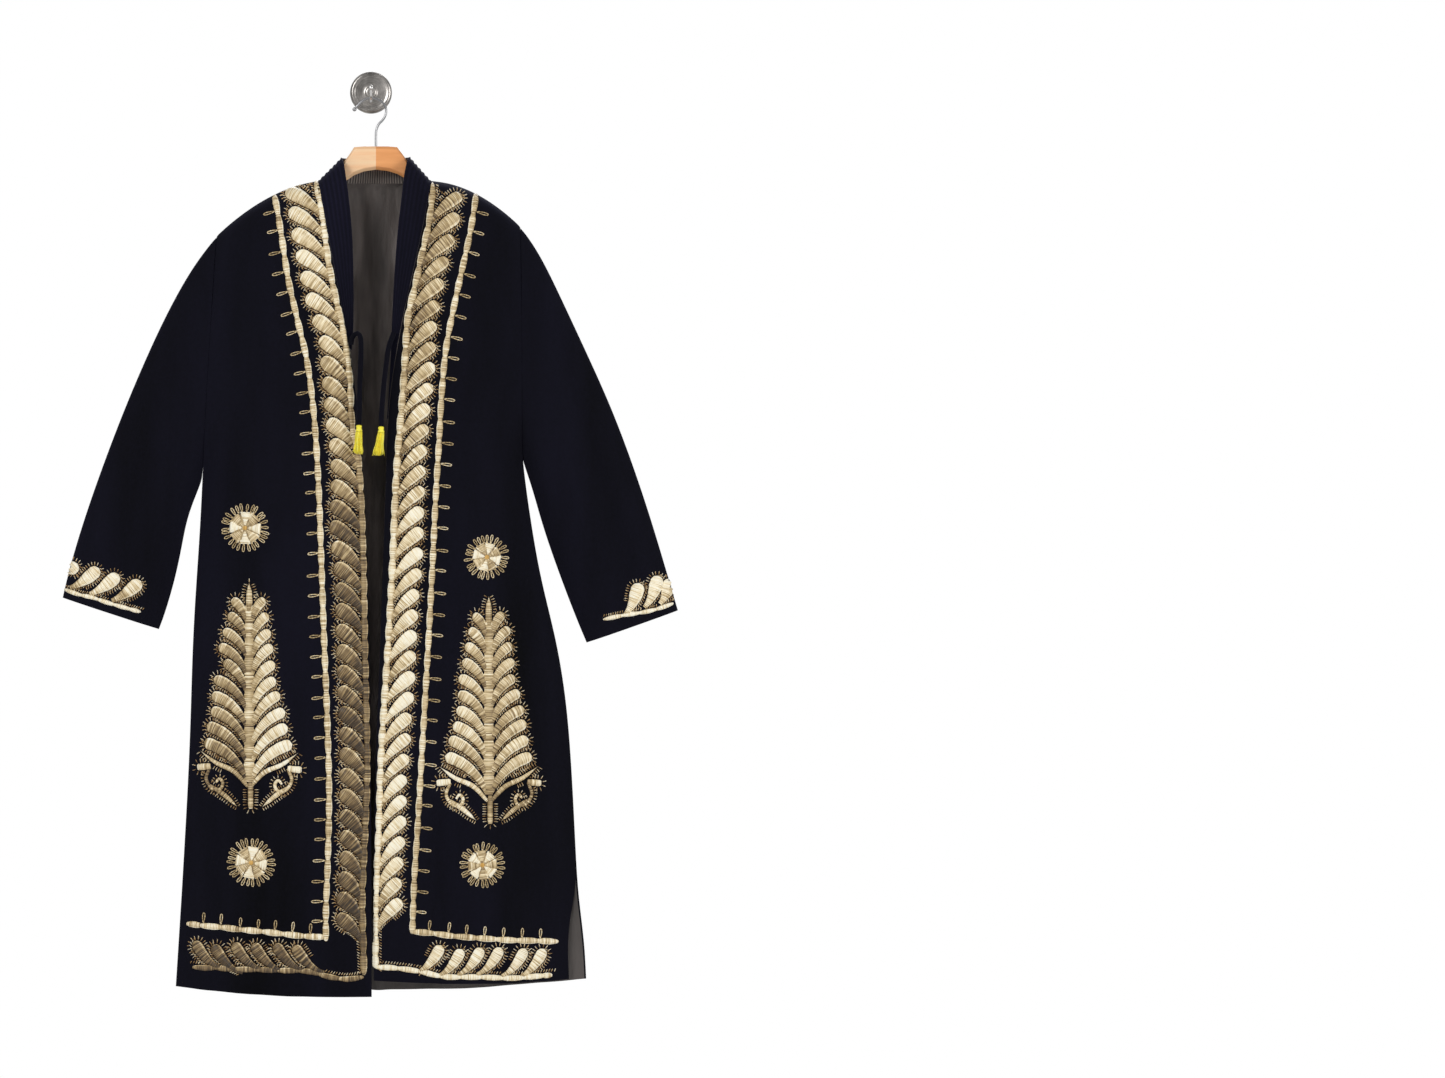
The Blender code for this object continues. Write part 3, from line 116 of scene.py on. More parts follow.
# materials
def newMaterial(name, look):
    made = bpy.data.materials.new(name)
    made.use_nodes = True
    shader = made.node_tree.nodes["Principled BSDF"]
    shader.inputs["Roughness"].default_value = look["roughness"]
    shader.inputs["Metallic"].default_value = look.get("metallic", 0.0)
    shader.inputs["Sheen Weight"].default_value = look.get("sheen", 0.0)
    shader.inputs["Sheen Roughness"].default_value = 0.45
    shader.inputs["Sheen Tint"].default_value = (*look.get("tint", (1.0, 1.0, 1.0)), 1.0)
    return made, made.node_tree, shader


def addNode(tree, kind, **settings):
    node = tree.nodes.new("ShaderNode" + kind)
    for key, value in settings.items():
        if key in node.inputs:
            node.inputs[key].default_value = value
        else:
            setattr(node, key, value)
    return node


def objectCoords(tree, scale=(1.0, 1.0, 1.0), source="Object"):
    coords = addNode(tree, "TexCoord")
    mapping = addNode(tree, "Mapping", Scale=scale)
    tree.links.new(coords.outputs[source], mapping.inputs["Vector"])
    return mapping.outputs["Vector"]


def splitCoords(tree, source="Object"):
    parts = addNode(tree, "SeparateXYZ")
    tree.links.new(objectCoords(tree, source=source), parts.inputs["Vector"])
    return parts.outputs


def noiseOn(tree, vector, scale, detail=3.0):
    node = addNode(tree, "TexNoise", Scale=scale, Detail=detail, Roughness=0.55)
    tree.links.new(vector, node.inputs["Vector"])
    return node.outputs["Fac"]


def rampOn(tree, value, stops):
    node = addNode(tree, "ValToRGB")
    ramp = node.color_ramp
    while len(ramp.elements) < len(stops):
        ramp.elements.new(0.5)
    for element, (place, color) in zip(ramp.elements, stops):
        element.position = place
        element.color = (*color, 1.0)
    tree.links.new(value, node.inputs["Fac"])
    return node.outputs["Color"]


def mixColors(tree, factor, first, second):
    node = addNode(tree, "Mix", data_type="RGBA")
    for value, socket in ((factor, node.inputs[0]), (first, node.inputs[6]), (second, node.inputs[7])):
        if isinstance(value, tuple):
            socket.default_value = (*value, 1.0)
        else:
            tree.links.new(value, socket)
    return node.outputs[2]


def addMath(tree, operation, first, second):
    node = addNode(tree, "Math", operation=operation)
    for value, socket in zip((first, second), node.inputs):
        if isinstance(value, (int, float)):
            socket.default_value = value
        else:
            tree.links.new(value, socket)
    return node.outputs["Value"]


def scaled(tree, value, factor, offset):
    return addMath(tree, "ADD", addMath(tree, "MULTIPLY", value, factor), offset)


def weighted(tree, first, firstShare, second, secondShare):
    return scaled(tree, first, firstShare, addMath(tree, "MULTIPLY", second, secondShare))


def ribWave(tree, axis, perUnit):
    # a wave along one axis of the piece's map
    turns = addMath(tree, "MULTIPLY", splitCoords(tree, "UV")[axis], 2 * math.pi * perUnit)
    return addMath(tree, "COSINE", turns, 0.0)


def bumpOn(tree, shader, height, strength, distance):
    node = addNode(tree, "Bump", Strength=strength, Distance=distance)
    tree.links.new(height, node.inputs["Height"])
    tree.links.new(node.outputs["Normal"], shader.inputs["Normal"])


velvetLook = {"roughness": 0.9, "sheen": 0.085, "tint": (0.36, 0.37, 0.72), "specular": 0.12,
              "drift": (9.0, 9.0, 1.6), "driftShare": 0.8, "nap": 260.0, "napShare": 0.2,
              "spread": (0.30, 0.72), "pile": 1500.0, "bump": (0.35, 0.0004),
              "valleyShade": (0.0012, 0.0012, 0.0030), "dip": 0.24}


def velvetMaterial(name, dark, light, ribs=0):
    look = velvetLook
    made, tree, shader = newMaterial(name, look)
    shader.inputs["Specular IOR Level"].default_value = look["specular"]
    drift = noiseOn(tree, objectCoords(tree, look["drift"]), 1.0, 4.0)
    nap = noiseOn(tree, objectCoords(tree), look["nap"], 2.0)
    crushed = weighted(tree, drift, look["driftShare"], nap, look["napShare"])
    color = rampOn(tree, crushed, tuple(zip(look["spread"], (dark, light))))
    if ribs:
        # painted shade: the colour is darker in the valleys between the ribs, which run along the map's v axis
        dip = scaled(tree, ribWave(tree, "Y", ribs), look["dip"], 1 - look["dip"])
        color = mixColors(tree, dip, look["valleyShade"], color)
    tree.links.new(color, shader.inputs["Base Color"])
    pile = noiseOn(tree, objectCoords(tree), look["pile"], 2.0)
    bumpOn(tree, shader, pile, *look["bump"])
    return made


ribbedLook = {"roughness": 0.45, "sheen": 0.1, "tint": (0.8, 0.75, 0.7), "pitch": 0.0032, "bump": (0.8, 0.0008),
              "lightAndShade": ((0.1, (0.032, 0.027, 0.024)), (0.8, (0.200, 0.166, 0.148)))}


def ribbedSatin():
    # satin stitched in short upright ribs, across the band; the map's u axis is its length in metres
    look = ribbedLook
    made, tree, shader = newMaterial("ribbedSatin", look)
    height = scaled(tree, ribWave(tree, "X", 1 / look["pitch"]), 0.5, 0.5)
    # painted shade and light: the ribs' valleys darker, their crests lighter
    tree.links.new(rampOn(tree, height, look["lightAndShade"]), shader.inputs["Base Color"])
    bumpOn(tree, shader, height, *look["bump"])
    return made


satinLook = {"roughness": 0.5, "sheen": 0.15, "tint": (0.8, 0.75, 0.7), "drift": (14.0, 14.0, 2.4),
             "lightAndShade": ((0.38, (0.070, 0.058, 0.052)), (0.50, (0.220, 0.184, 0.170)),
                        (0.62, (0.560, 0.480, 0.445))),
             "long": 1.3, "lit": ((0.10, 0.22), (0.27, 1.0), (0.70, 1.0), (0.87, 0.07)),
             "unlit": (0.040, 0.034, 0.031), "crumple": (60.0, 60.0, 18.0), "folds": (10.0, 10.0, 3.2),
             "foldSharp": 16.0, "weave": (2400.0, 2400.0, 900.0), "weaveShare": 0.12, "bump": (0.8, 0.0040)}


def satinMaterial():
    look = satinLook
    made, tree, shader = newMaterial("darkSatin", look)
    # painted light and shade of the folds: long upright streaks of lighter and darker colour
    drift = noiseOn(tree, objectCoords(tree, look["drift"]), 1.0, 4.0)
    # painted shade: darker at the neck and near the hem
    down = addMath(tree, "MULTIPLY", splitCoords(tree)["Z"], -1 / look["long"])
    level = rampOn(tree, down, [(place, (share,) * 3) for place, share in look["lit"]])
    color = mixColors(tree, level, look["unlit"], rampOn(tree, drift, look["lightAndShade"]))
    tree.links.new(color, shader.inputs["Base Color"])
    crumple = noiseOn(tree, objectCoords(tree, look["crumple"]), 1.0, 3.0)
    folds = noiseOn(tree, objectCoords(tree, look["folds"]), 1.0, 1.0)
    away = addMath(tree, "ABSOLUTE", addMath(tree, "SUBTRACT", folds, 0.5), 0.0)
    crease = addMath(tree, "MINIMUM", addMath(tree, "MULTIPLY", away, look["foldSharp"]), 1.0)
    weave = noiseOn(tree, objectCoords(tree, look["weave"]), 1.0, 1.0)
    bumpOn(tree, shader, scaled(tree, weave, look["weaveShare"], addMath(tree, "ADD", crumple, crease)),
           *look["bump"])
    return made


threadLook = {"sheen": 0.08, "tint": (1.0, 0.93, 0.75), "strands": (88.0, 3.0, 1.0), "strandShare": 1.5,
              "bundles": (24.0, 2.0, 1.0), "bundleShare": 0.5, "bump": (0.8, 0.0009)}


def threadMaterial(name, stops, roughness=0.42):
    look = threadLook
    made, tree, shader = newMaterial(name, {**look, "roughness": roughness})
    # the tone attribute holds the threads' own tone and the light and shade painted onto each stitch
    tone = addNode(tree, "Attribute", attribute_name="tone").outputs["Fac"]
    # the u axis of the map runs across the threads, the v axis along them
    strands = noiseOn(tree, objectCoords(tree, look["strands"], "UV"), 1.0, 1.0)
    bundles = noiseOn(tree, objectCoords(tree, look["bundles"], "UV"), 1.0, 1.0)
    uneven = weighted(tree, strands, look["strandShare"], bundles, look["bundleShare"])
    middle = (look["strandShare"] + look["bundleShare"]) / 2
    value = addMath(tree, "ADD", tone, addMath(tree, "SUBTRACT", uneven, middle))
    tree.links.new(rampOn(tree, value, stops), shader.inputs["Base Color"])
    bumpOn(tree, shader, strands, *look["bump"])
    return made


goldStops = ((0.0, (0.034, 0.020, 0.008)), (0.25, (0.17, 0.105, 0.042)), (0.5, (0.42, 0.300, 0.140)),
             (0.72, (0.75, 0.59, 0.34)), (0.9, (0.98, 0.87, 0.62)), (1.0, (1.0, 0.94, 0.76)))
couchStops = ((0.0, (0.060, 0.026, 0.008)), (0.3, (0.30, 0.155, 0.045)), (0.55, (0.62, 0.400, 0.170)),
              (0.8, (0.88, 0.70, 0.42)), (1.0, (1.0, 0.92, 0.72)))
orangeStops = ((0.0, (0.16, 0.060, 0.010)), (0.5, (0.62, 0.330, 0.060)), (1.0, (0.92, 0.66, 0.25)))
yellowStops = ((0.0, (0.60, 0.360, 0.005)), (0.30, (1.0, 0.78, 0.015)), (0.65, (1.0, 0.90, 0.050)),
               (1.0, (1.00, 0.95, 0.22)))

woodLook = {"roughness": 0.42, "coat": 0.25, "coatRoughness": 0.25, "grain": (9.0, 60.0, 190.0),
            "pale": ((0.25, (0.98, 0.56, 0.29)), (0.75, (1.0, 0.72, 0.45))),
            "deep": ((0.25, (0.78, 0.31, 0.095)), (0.75, (0.94, 0.42, 0.155))),
            "pores": (60.0, 300.0, 900.0), "poreColor": (0.42, 0.20, 0.09), "poreShare": 0.16,
            "bump": (0.12, 0.0004)}


def woodMaterial():
    look = woodLook
    made, tree, shader = newMaterial("beechWood", look)
    shader.inputs["Coat Weight"].default_value = look["coat"]
    shader.inputs["Coat Roughness"].default_value = look["coatRoughness"]
    grain = noiseOn(tree, objectCoords(tree, look["grain"]), 1.0, 4.0)
    pores = noiseOn(tree, objectCoords(tree, look["pores"]), 1.0, 2.0)
    # painted shade: the half right of the crease is darker, as that face is turned from the light
    side = addMath(tree, "GREATER_THAN", splitCoords(tree)["X"], hangerShape["creaseX"] * mm)
    color = mixColors(tree, side, rampOn(tree, grain, look["pale"]), rampOn(tree, grain, look["deep"]))
    color = mixColors(tree, addMath(tree, "MULTIPLY", pores, look["poreShare"]), color, look["poreColor"])
    tree.links.new(color, shader.inputs["Base Color"])
    bumpOn(tree, shader, pores, *look["bump"])
    return made


steels = {
    "drawnSteel": {"color": (0.42, 0.42, 0.43), "roughness": 0.30, "darkShare": 0.78, "cloud": 90.0,
                   "spread": (0.3, 0.7), "turned": False},
    "polishedSteel": {"color": (0.78, 0.76, 0.74), "roughness": 0.18, "darkShare": 0.78, "cloud": 90.0,
                      "spread": (0.3, 0.7), "turned": False},
    "turnedSteel": {"color": (0.56, 0.53, 0.50), "roughness": 0.30, "darkShare": 0.34, "cloud": 48.0,
                    "spread": (0.38, 0.58), "turned": True},
}
steelWear = {"lines": 1400.0, "bump": (0.12, 0.0002), "low": 0.7, "high": 1.4}


def steelMaterial(name):
    look = steels[name]
    made, tree, shader = newMaterial(name, {**look, "metallic": 1.0})
    coords = objectCoords(tree)
    if look["turned"]:
        # fine rings round the plate's middle; on the turned plate they are darkened strongly, a painted
        # reflection of its turned face
        parts = splitCoords(tree)
        squares = [addMath(tree, "POWER", parts[axis], 2.0) for axis in ("X", "Z")]
        rings = addNode(tree, "CombineXYZ")
        tree.links.new(addMath(tree, "SQRT", addMath(tree, "ADD", *squares), 0.0), rings.inputs["X"])
        coords = rings.outputs["Vector"]
    lines = noiseOn(tree, coords, steelWear["lines"])
    cloudy = noiseOn(tree, objectCoords(tree), look["cloud"])
    # base colour darker in fine lines and clouds, down to the dark share of the colour
    low = tuple(value * look["darkShare"] for value in look["color"])
    stops = tuple(zip(look["spread"], (low, look["color"])))
    tree.links.new(rampOn(tree, weighted(tree, lines, 0.5, cloudy, 0.5), stops), shader.inputs["Base Color"])
    worn = addNode(tree, "MapRange")
    tree.links.new(cloudy, worn.inputs["Value"])
    worn.inputs["To Min"].default_value = look["roughness"] * steelWear["low"]
    worn.inputs["To Max"].default_value = look["roughness"] * steelWear["high"]
    tree.links.new(worn.outputs["Result"], shader.inputs["Roughness"])
    bumpOn(tree, shader, lines, *steelWear["bump"])
    return made


# small helpers
def deselectAll():
    bpy.ops.object.select_all(action="DESELECT")


def makeActive(piece):
    deselectAll()
    piece.select_set(True)
    bpy.context.view_layer.objects.active = piece


def applyModifier(piece, kind, **settings):
    makeActive(piece)
    modifier = piece.modifiers.new(kind.lower(), kind)
    for key, value in settings.items():
        setattr(modifier, key, value)
    bpy.ops.object.modifier_apply(modifier=modifier.name)


def settle(piece, slot, *replaced):
    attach(piece, "root")
    if replaced:
        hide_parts(*replaced)


def vertexArray(piece):
    flat = np.empty(len(piece.data.vertices) * 3)
    piece.data.vertices.foreach_get("co", flat)
    return flat.reshape(-1, 3) / mm


def setVertices(piece, points):
    piece.data.vertices.foreach_set("co", (points * mm).ravel())
    piece.data.update()


def perpendicular(vectors):
    return np.stack([-vectors[..., 1], vectors[..., 0]], axis=-1)


def unit(vectors):
    return vectors / np.maximum(np.linalg.norm(vectors, axis=-1, keepdims=True), 1e-9)


def smoothShade(piece, degrees):
    makeActive(piece)
    bpy.ops.object.shade_smooth_by_angle(angle=math.radians(degrees))


def setMap(piece, name, places):
    # one (u, v) place for each point of the mesh
    layer = piece.data.uv_layers.new(name=name)
    corners = np.empty(len(piece.data.loops), int)
    piece.data.loops.foreach_get("vertex_index", corners)
    layer.data.foreach_set("uv", np.asarray(places, float)[corners].ravel())


def solidCopy(nodeName, pieceName, faceAngle):
    # a copy of the solid with its points merged and its triangles paired
    piece = bpy.data.objects.new(pieceName, nodes[nodeName].data.copy())
    bpy.context.scene.collection.objects.link(piece)
    piece.data.materials.clear()
    makeActive(piece)
    bpy.ops.object.mode_set(mode="EDIT")
    bpy.ops.mesh.select_all(action="SELECT")
    bpy.ops.mesh.remove_doubles(threshold=mergeWithin)
    bpy.ops.mesh.customdata_custom_splitnormals_clear()
    bpy.ops.mesh.tris_convert_to_quads(face_threshold=math.radians(faceAngle),
                                       shape_threshold=math.radians(100))
    bpy.ops.object.mode_set(mode="OBJECT")
    return piece


def clothCopy(nodeName, pieceName, levels):
    # a copy that is creased along its cut edges and subdivided
    piece = solidCopy(nodeName, pieceName, 100)
    bpy.ops.object.mode_set(mode="EDIT")
    bpy.ops.mesh.select_mode(type="EDGE")
    bpy.ops.mesh.select_all(action="DESELECT")
    bpy.ops.mesh.edges_select_sharp(sharpness=math.radians(62))
    bpy.ops.transform.edge_crease(value=1.0)
    bpy.ops.mesh.select_all(action="SELECT")
    bpy.ops.mesh.mark_sharp(clear=True)
    bpy.ops.object.mode_set(mode="OBJECT")
    applyModifier(piece, "SUBSURF", levels=levels, render_levels=levels, boundary_smooth="ALL")
    smoothShade(piece, 55)
    return piece


# folds: each is a row of (z, x) points down the cloth, its half width and how deep it is
frontFolds = (
    {"path": ((-560, -178), (-800, -196), (-1060, -205), (-1290, -214)), "width": 17, "depth": -3.0},
    {"path": ((-640, -215), (-860, -224), (-1290, -240)), "width": 12, "depth": 2.4},
    {"path": ((-330, -150), (-480, -168), (-700, -150), (-930, -128), (-1290, -112)), "width": 20,
     "depth": 2.2},
    {"path": ((-420, -196), (-520, -205), (-640, -214), (-760, -214)), "width": 11, "depth": -2.6},
    {"path": ((-980, -160), (-1130, -158), (-1290, -152)), "width": 13, "depth": -2.0},
    {"path": ((-700, -98), (-900, -88), (-1120, -92), (-1290, -96)), "width": 13, "depth": -1.8},
    {"path": ((-560, 150), (-760, 200), (-1000, 222), (-1290, 232)), "width": 17, "depth": -3.0},
    {"path": ((-520, 196), (-680, 226), (-900, 258), (-1290, 264)), "width": 12, "depth": 2.6},
    {"path": ((-320, 150), (-460, 158), (-700, 138), (-940, 128), (-1290, 104)), "width": 19, "depth": 2.2},
    {"path": ((-380, 190), (-480, 198), (-600, 208), (-720, 216)), "width": 11, "depth": -2.6},
    {"path": ((-900, 180), (-1100, 190), (-1290, 196)), "width": 14, "depth": 2.0},
    {"path": ((-760, 112), (-960, 100), (-1290, 84)), "width": 12, "depth": -1.8},
)
backFolds = (
    {"path": ((-300, -176), (-520, -208), (-800, -226), (-1290, -246)), "width": 15, "depth": -3.2},
    {"path": ((-480, -150), (-760, -178), (-1060, -190), (-1290, -202)), "width": 18, "depth": 3.0},
    {"path": ((-560, -96), (-820, -104), (-1080, -128), (-1290, -140)), "width": 15, "depth": -2.6},
    {"path": ((-520, -34), (-780, -42), (-1020, -50), (-1290, -62)), "width": 17, "depth": 2.4},
    {"path": ((-500, 22), (-760, 18), (-1040, 10), (-1290, 6)), "width": 14, "depth": -2.4},
    {"path": ((-560, 78), (-800, 88), (-1050, 84), (-1290, 82)), "width": 17, "depth": 2.6},
    {"path": ((-520, 128), (-800, 150), (-1080, 160), (-1290, 168)), "width": 14, "depth": -2.8},
    {"path": ((-420, 160), (-700, 200), (-1000, 226), (-1290, 240)), "width": 17, "depth": 2.8},
    {"path": ((-300, 180), (-520, 208), (-800, 250), (-1290, 280)), "width": 13, "depth": -3.0},
)
sleeveFolds = (
    {"path": ((-250, -236), (-420, -300), (-600, -366), (-760, -414)), "width": 17, "depth": 2.6},
    {"path": ((-330, -262), (-500, -312), (-680, -356), (-770, -372)), "width": 14, "depth": -2.6},
    {"path": ((-470, -268), (-560, -286), (-660, -312), (-760, -330)), "width": 12, "depth": 2.2},
    {"path": ((-230, 226), (-400, 286), (-600, 360), (-770, 410)), "width": 17, "depth": 2.6},
    {"path": ((-310, 250), (-500, 308), (-690, 362), (-780, 380)), "width": 14, "depth": -2.6},
    {"path": ((-460, 262), (-560, 284), (-680, 316), (-780, 340)), "width": 12, "depth": 2.2},
)
foldFade = 90.0           # length over which a fold grows and dies away
foldEndsAbove = -1200.0   # a fold that ends lower than this runs out over the hem
unevenness = {"broad": 1.3, "broadSize": (75, 300, 170), "fine": 0.45, "fineSize": (26, 100, 40)}
# how far from its seams the cloth begins to move
seamHold = {"edge": 3.0, "reach": 16.0, "armhole": 34.0, "shoulderZ": -150.0, "shoulder": 120.0,
            "underarm": 60.0}
sleeveBend = {"long": 215.0, "forward": 14.0}


def smoothStep(value):
    value = np.clip(value, 0.0, 1.0)
    return value * value * (3 - 2 * value)


def foldDepth(folds, x, z):
    depth = np.zeros(len(x))
    for fold in folds:
        heights = np.array([row[0] for row in fold["path"]], float)[::-1]
        places = np.array([row[1] for row in fold["path"]], float)[::-1]
        middle = np.interp(z, heights, places)
        across = (x - middle) / fold["width"]
        top = smoothStep((heights[-1] - z) / foldFade)
        low = smoothStep((z - heights[0]) / foldFade) if heights[0] > foldEndsAbove else 1.0
        depth += fold["depth"] * np.exp(-across ** 2) * top * low
    return depth


def unevenDepth(points, seed):
    broad = points / unevenness["broadSize"] + (seed, 0, 0)
    fine = points / unevenness["fineSize"] + (0, seed, 0)
    return np.array([noise.noise(first) * unevenness["broad"] + noise.noise(second) * unevenness["fine"]
                     for first, second in zip(broad, fine)])


def hangCloth(piece, folds, middle, free, ridges=None):
    # moves the cloth out and in along its folds, and not where it is sewn
    points = vertexArray(piece)
    middleY = middle(points) if callable(middle) else middle
    facing = np.sign(points[:, 1] - middleY)
    away = smoothStep((np.abs(points[:, 1] - middleY) - seamHold["edge"]) / seamHold["reach"])
    front = facing < 0
    depth = np.zeros(len(points))
    for side, chosen in (("front", front), ("back", ~front)):
        if chosen.any():
            depth[chosen] = foldDepth(folds[side], points[chosen, 0], points[chosen, 2])
            depth[chosen] += unevenDepth(points[chosen], 3.0 if side == "front" else 11.0)
    weight = away * free(points)
    points[:, 1] += facing * depth * weight
    if ridges is not None:
        points[:, 1] -= facing * ridges(points) * weight
    setVertices(piece, points)
    return piece


armholes = {"leftX": (-219.0, -239.0), "rightX": (212.0, 214.0), "z": (-205.0, -535.0)}


def armholeX(z, side):
    top, low = armholes["leftX"] if side < 0 else armholes["rightX"]
    return np.interp(z, [armholes["z"][1], armholes["z"][0]], [low, top])


def awayFromArmholes(points):
    x, z = points[:, 0], points[:, 2]
    reach = np.minimum(np.abs(x - armholeX(z, -1)), np.abs(x - armholeX(z, 1)))
    near = smoothStep(reach / seamHold["armhole"])
    return np.where(z > armholes["z"][1] - seamHold["underarm"], near, 1.0)


def awayFromBodySeams(points):
    # the body's cloth also stays where the neck and the shoulders are sewn
    below = (seamHold["shoulderZ"] - points[:, 2]) / seamHold["shoulder"]
    return awayFromArmholes(points) * smoothStep(below)


def sleeveMiddle(points):
    x = points[:, 0]
    root = np.where(x < 0, armholeX(points[:, 2], -1), armholeX(points[:, 2], 1))
    along = np.clip(np.abs(x - root) / sleeveBend["long"], 0.0, 1.0)
    return midY - sleeveBend["forward"] * along ** 1.5


band = {"middleX": 5.0, "ribs": 6, "ribDepth": 0.6, "across": 42, "step": 4.5, "tuck": 3.5, "tuckReach": 12.0,
        "flat": (0.036, 0.800), "share": 0.86}

print("folding the velvet")
setCamera()
setLight()
layFloor()
velvet = velvetMaterial("navyVelvet", (0.0004, 0.0004, 0.0012), (0.0050, 0.0047, 0.0120))
bandVelvet = velvetMaterial("bandVelvet", (0.0024, 0.0022, 0.0070), (0.0100, 0.0094, 0.0240), band["ribs"])
satin = satinMaterial()
bodyFolds = {"front": frontFolds, "back": backFolds}
armFolds = {"front": sleeveFolds, "back": sleeveFolds}

# the share of its flat size that each piece shows, after its shape is cut from it
velvetPieces = {
    "front_left": {"name": "velvetFrontLeft", "levels": 3, "flat": (0.285, 1.155), "share": 0.86},
    "front_right": {"name": "velvetFrontRight", "levels": 3, "flat": (0.300, 1.155), "share": 0.86},
    "back": {"name": "velvetBack", "levels": 3, "flat": (0.600, 1.155), "share": 0.84},
    "sleeve_left": {"name": "velvetSleeveLeft", "levels": 3, "flat": (0.620, 0.395), "share": 0.52},
    "sleeve_right": {"name": "velvetSleeveRight", "levels": 3, "flat": (0.620, 0.415), "share": 0.52},
}


def sewnCloth(nodeName, settings, material, slotName, ridges=None):
    piece = clothCopy(nodeName, settings["name"], settings["levels"])
    if "sleeve" in nodeName or "cuff" in nodeName:
        hangCloth(piece, armFolds, sleeveMiddle, awayFromArmholes)
    else:
        hangCloth(piece, bodyFolds, midY, awayFromBodySeams, ridges)
    piece.data.materials.append(material)
    settle(piece, slotName, nodeName)
    return piece


garment = {name: sewnCloth(name, settings, velvet, "velvet") for name, settings in velvetPieces.items()}


def surfaceOf(piece):
    mesh = piece.data
    mesh.calc_loop_triangles()
    triangles = [tuple(triangle.vertices) for triangle in mesh.loop_triangles]
    return BVHTree.FromPolygons([vertex.co[:] for vertex in mesh.vertices], triangles)


surfaces = {name: surfaceOf(piece) for name, piece in garment.items()}

# the lining, seen through the opening, below the hem and in the cuffs
liningRidges = (
    {"path": ((-170, -22), (-300, -18), (-440, -8), (-700, -2), (-1270, 6)), "width": 7, "depth": 3.5},
    {"path": ((-200, 26), (-330, 22), (-470, 12), (-720, 8), (-1270, 14)), "width": 9, "depth": 5.0},
    {"path": ((-150, 52), (-260, 44), (-420, 30), (-600, 20)), "width": 8, "depth": 3.0},
    {"path": ((-170, 2), (-300, 6), (-400, 4), (-640, 4)), "width": 5, "depth": 2.5},
    {"path": ((-180, -46), (-300, -36), (-420, -26), (-600, -16)), "width": 8, "depth": 3.5},
)
liningPieces = {
    "lining_front_left": {"name": "satinFrontLeft", "levels": 2, "flat": (0.280, 1.150), "share": 0.86},
    "lining_front_right": {"name": "satinFrontRight", "levels": 2, "flat": (0.295, 1.150), "share": 0.86},
    "lining_back": {"name": "satinBack", "levels": 3, "flat": (0.590, 1.150), "share": 0.84},
    "lining_cuff_left": {"name": "satinCuffLeft", "levels": 2, "flat": (0.355, 0.060), "share": 0.78},
    "lining_cuff_right": {"name": "satinCuffRight", "levels": 2, "flat": (0.355, 0.062), "share": 0.78},
}


def liningFolds(points):
    inside = points[:, 1] > midY
    return np.where(inside, foldDepth(liningRidges, points[:, 0], points[:, 2]), 0.0)


lining = {name: sewnCloth(name, settings, satin, "lining", liningFolds)
          for name, settings in liningPieces.items()}
print("cloth hung")


def areaOf(piece):
    return sum(polygon.area for polygon in piece.data.polygons)


# the neckband: a folded strip with fine ribs sewn along it
def edgeRuns(mesh):
    # the four long edges of a folded strip, from its left end to its right end
    made = bmesh.new()
    made.from_mesh(mesh)
    bmesh.ops.remove_doubles(made, verts=made.verts, dist=mergeWithin)
    sharp = [edge for edge in made.edges if edge.calc_face_angle(0.0) > math.radians(28)]
    near = {}
    for edge in sharp:
        for vertex in edge.verts:
            near.setdefault(vertex, []).append(edge)
    corners = {side: sorted((v for v in near if v.co.x * side > 0), key=lambda v: v.co.z)[:6]
               for side in (-1, 1)}
    starts = [v for v in corners[-1] if len(near[v]) > 2]
    finish = {v for v in corners[1] if len(near[v]) > 2}
    runs = []
    for start in starts:
        edge = max(near[start], key=lambda e: e.calc_length())
        run = [start, edge.other_vert(start)]
        while run[-1] not in finish:
            heading = (run[-1].co - run[-2].co).normalized()
            edge = max((e for e in near[run[-1]] if e.other_vert(run[-1]) is not run[-2]),
                       key=lambda e: (e.other_vert(run[-1]).co - run[-1].co).normalized().dot(heading))
            run.append(edge.other_vert(run[-1]))
        runs.append(np.array([v.co[:] for v in run]) / mm)
    made.free()
    return runs


def curveThrough(points, step):
    # a smooth run of points through a few, evenly spaced
    points = np.asarray(points, float)
    along = np.concatenate([[0], np.cumsum(np.linalg.norm(np.diff(points, axis=0), axis=1))])
    count = max(2, int(round(along[-1] / step)) + 1)
    slopes = np.diff(points, axis=0) / np.diff(along)[:, None]
    ends = np.vstack([slopes[:1], (slopes[1:] + slopes[:-1]) / 2, slopes[-1:]])
    made = []
    for place in np.linspace(0, along[-1], count):
        i = min(int(np.searchsorted(along, place, side="right")) - 1, len(along) - 2)
        span = along[i + 1] - along[i]
        t = (place - along[i]) / span
        made.append((1 + 2 * t) * (1 - t) ** 2 * points[i] + t * (1 - t) ** 2 * span * ends[i]
                    + t * t * (3 - 2 * t) * points[i + 1] + t * t * (t - 1) * span * ends[i + 1])
    return np.array(made)


def meshPiece(name, points, faces, material):
    mesh = bpy.data.meshes.new(name)
    mesh.from_pydata((np.asarray(points) * mm).tolist(), [], faces)
    made = bmesh.new()
    made.from_mesh(mesh)
    bmesh.ops.recalc_face_normals(made, faces=made.faces)
    made.to_mesh(mesh)
    made.free()
    piece = bpy.data.objects.new(name, mesh)
    bpy.context.scene.collection.objects.link(piece)
    mesh.materials.append(material)
    mesh.shade_smooth()
    return piece


def gridFaces(rows, columns, start=0):
    return [(start + i * columns + j, start + i * columns + j + 1,
             start + (i + 1) * columns + j + 1, start + (i + 1) * columns + j)
            for i in range(rows - 1) for j in range(columns - 1)]


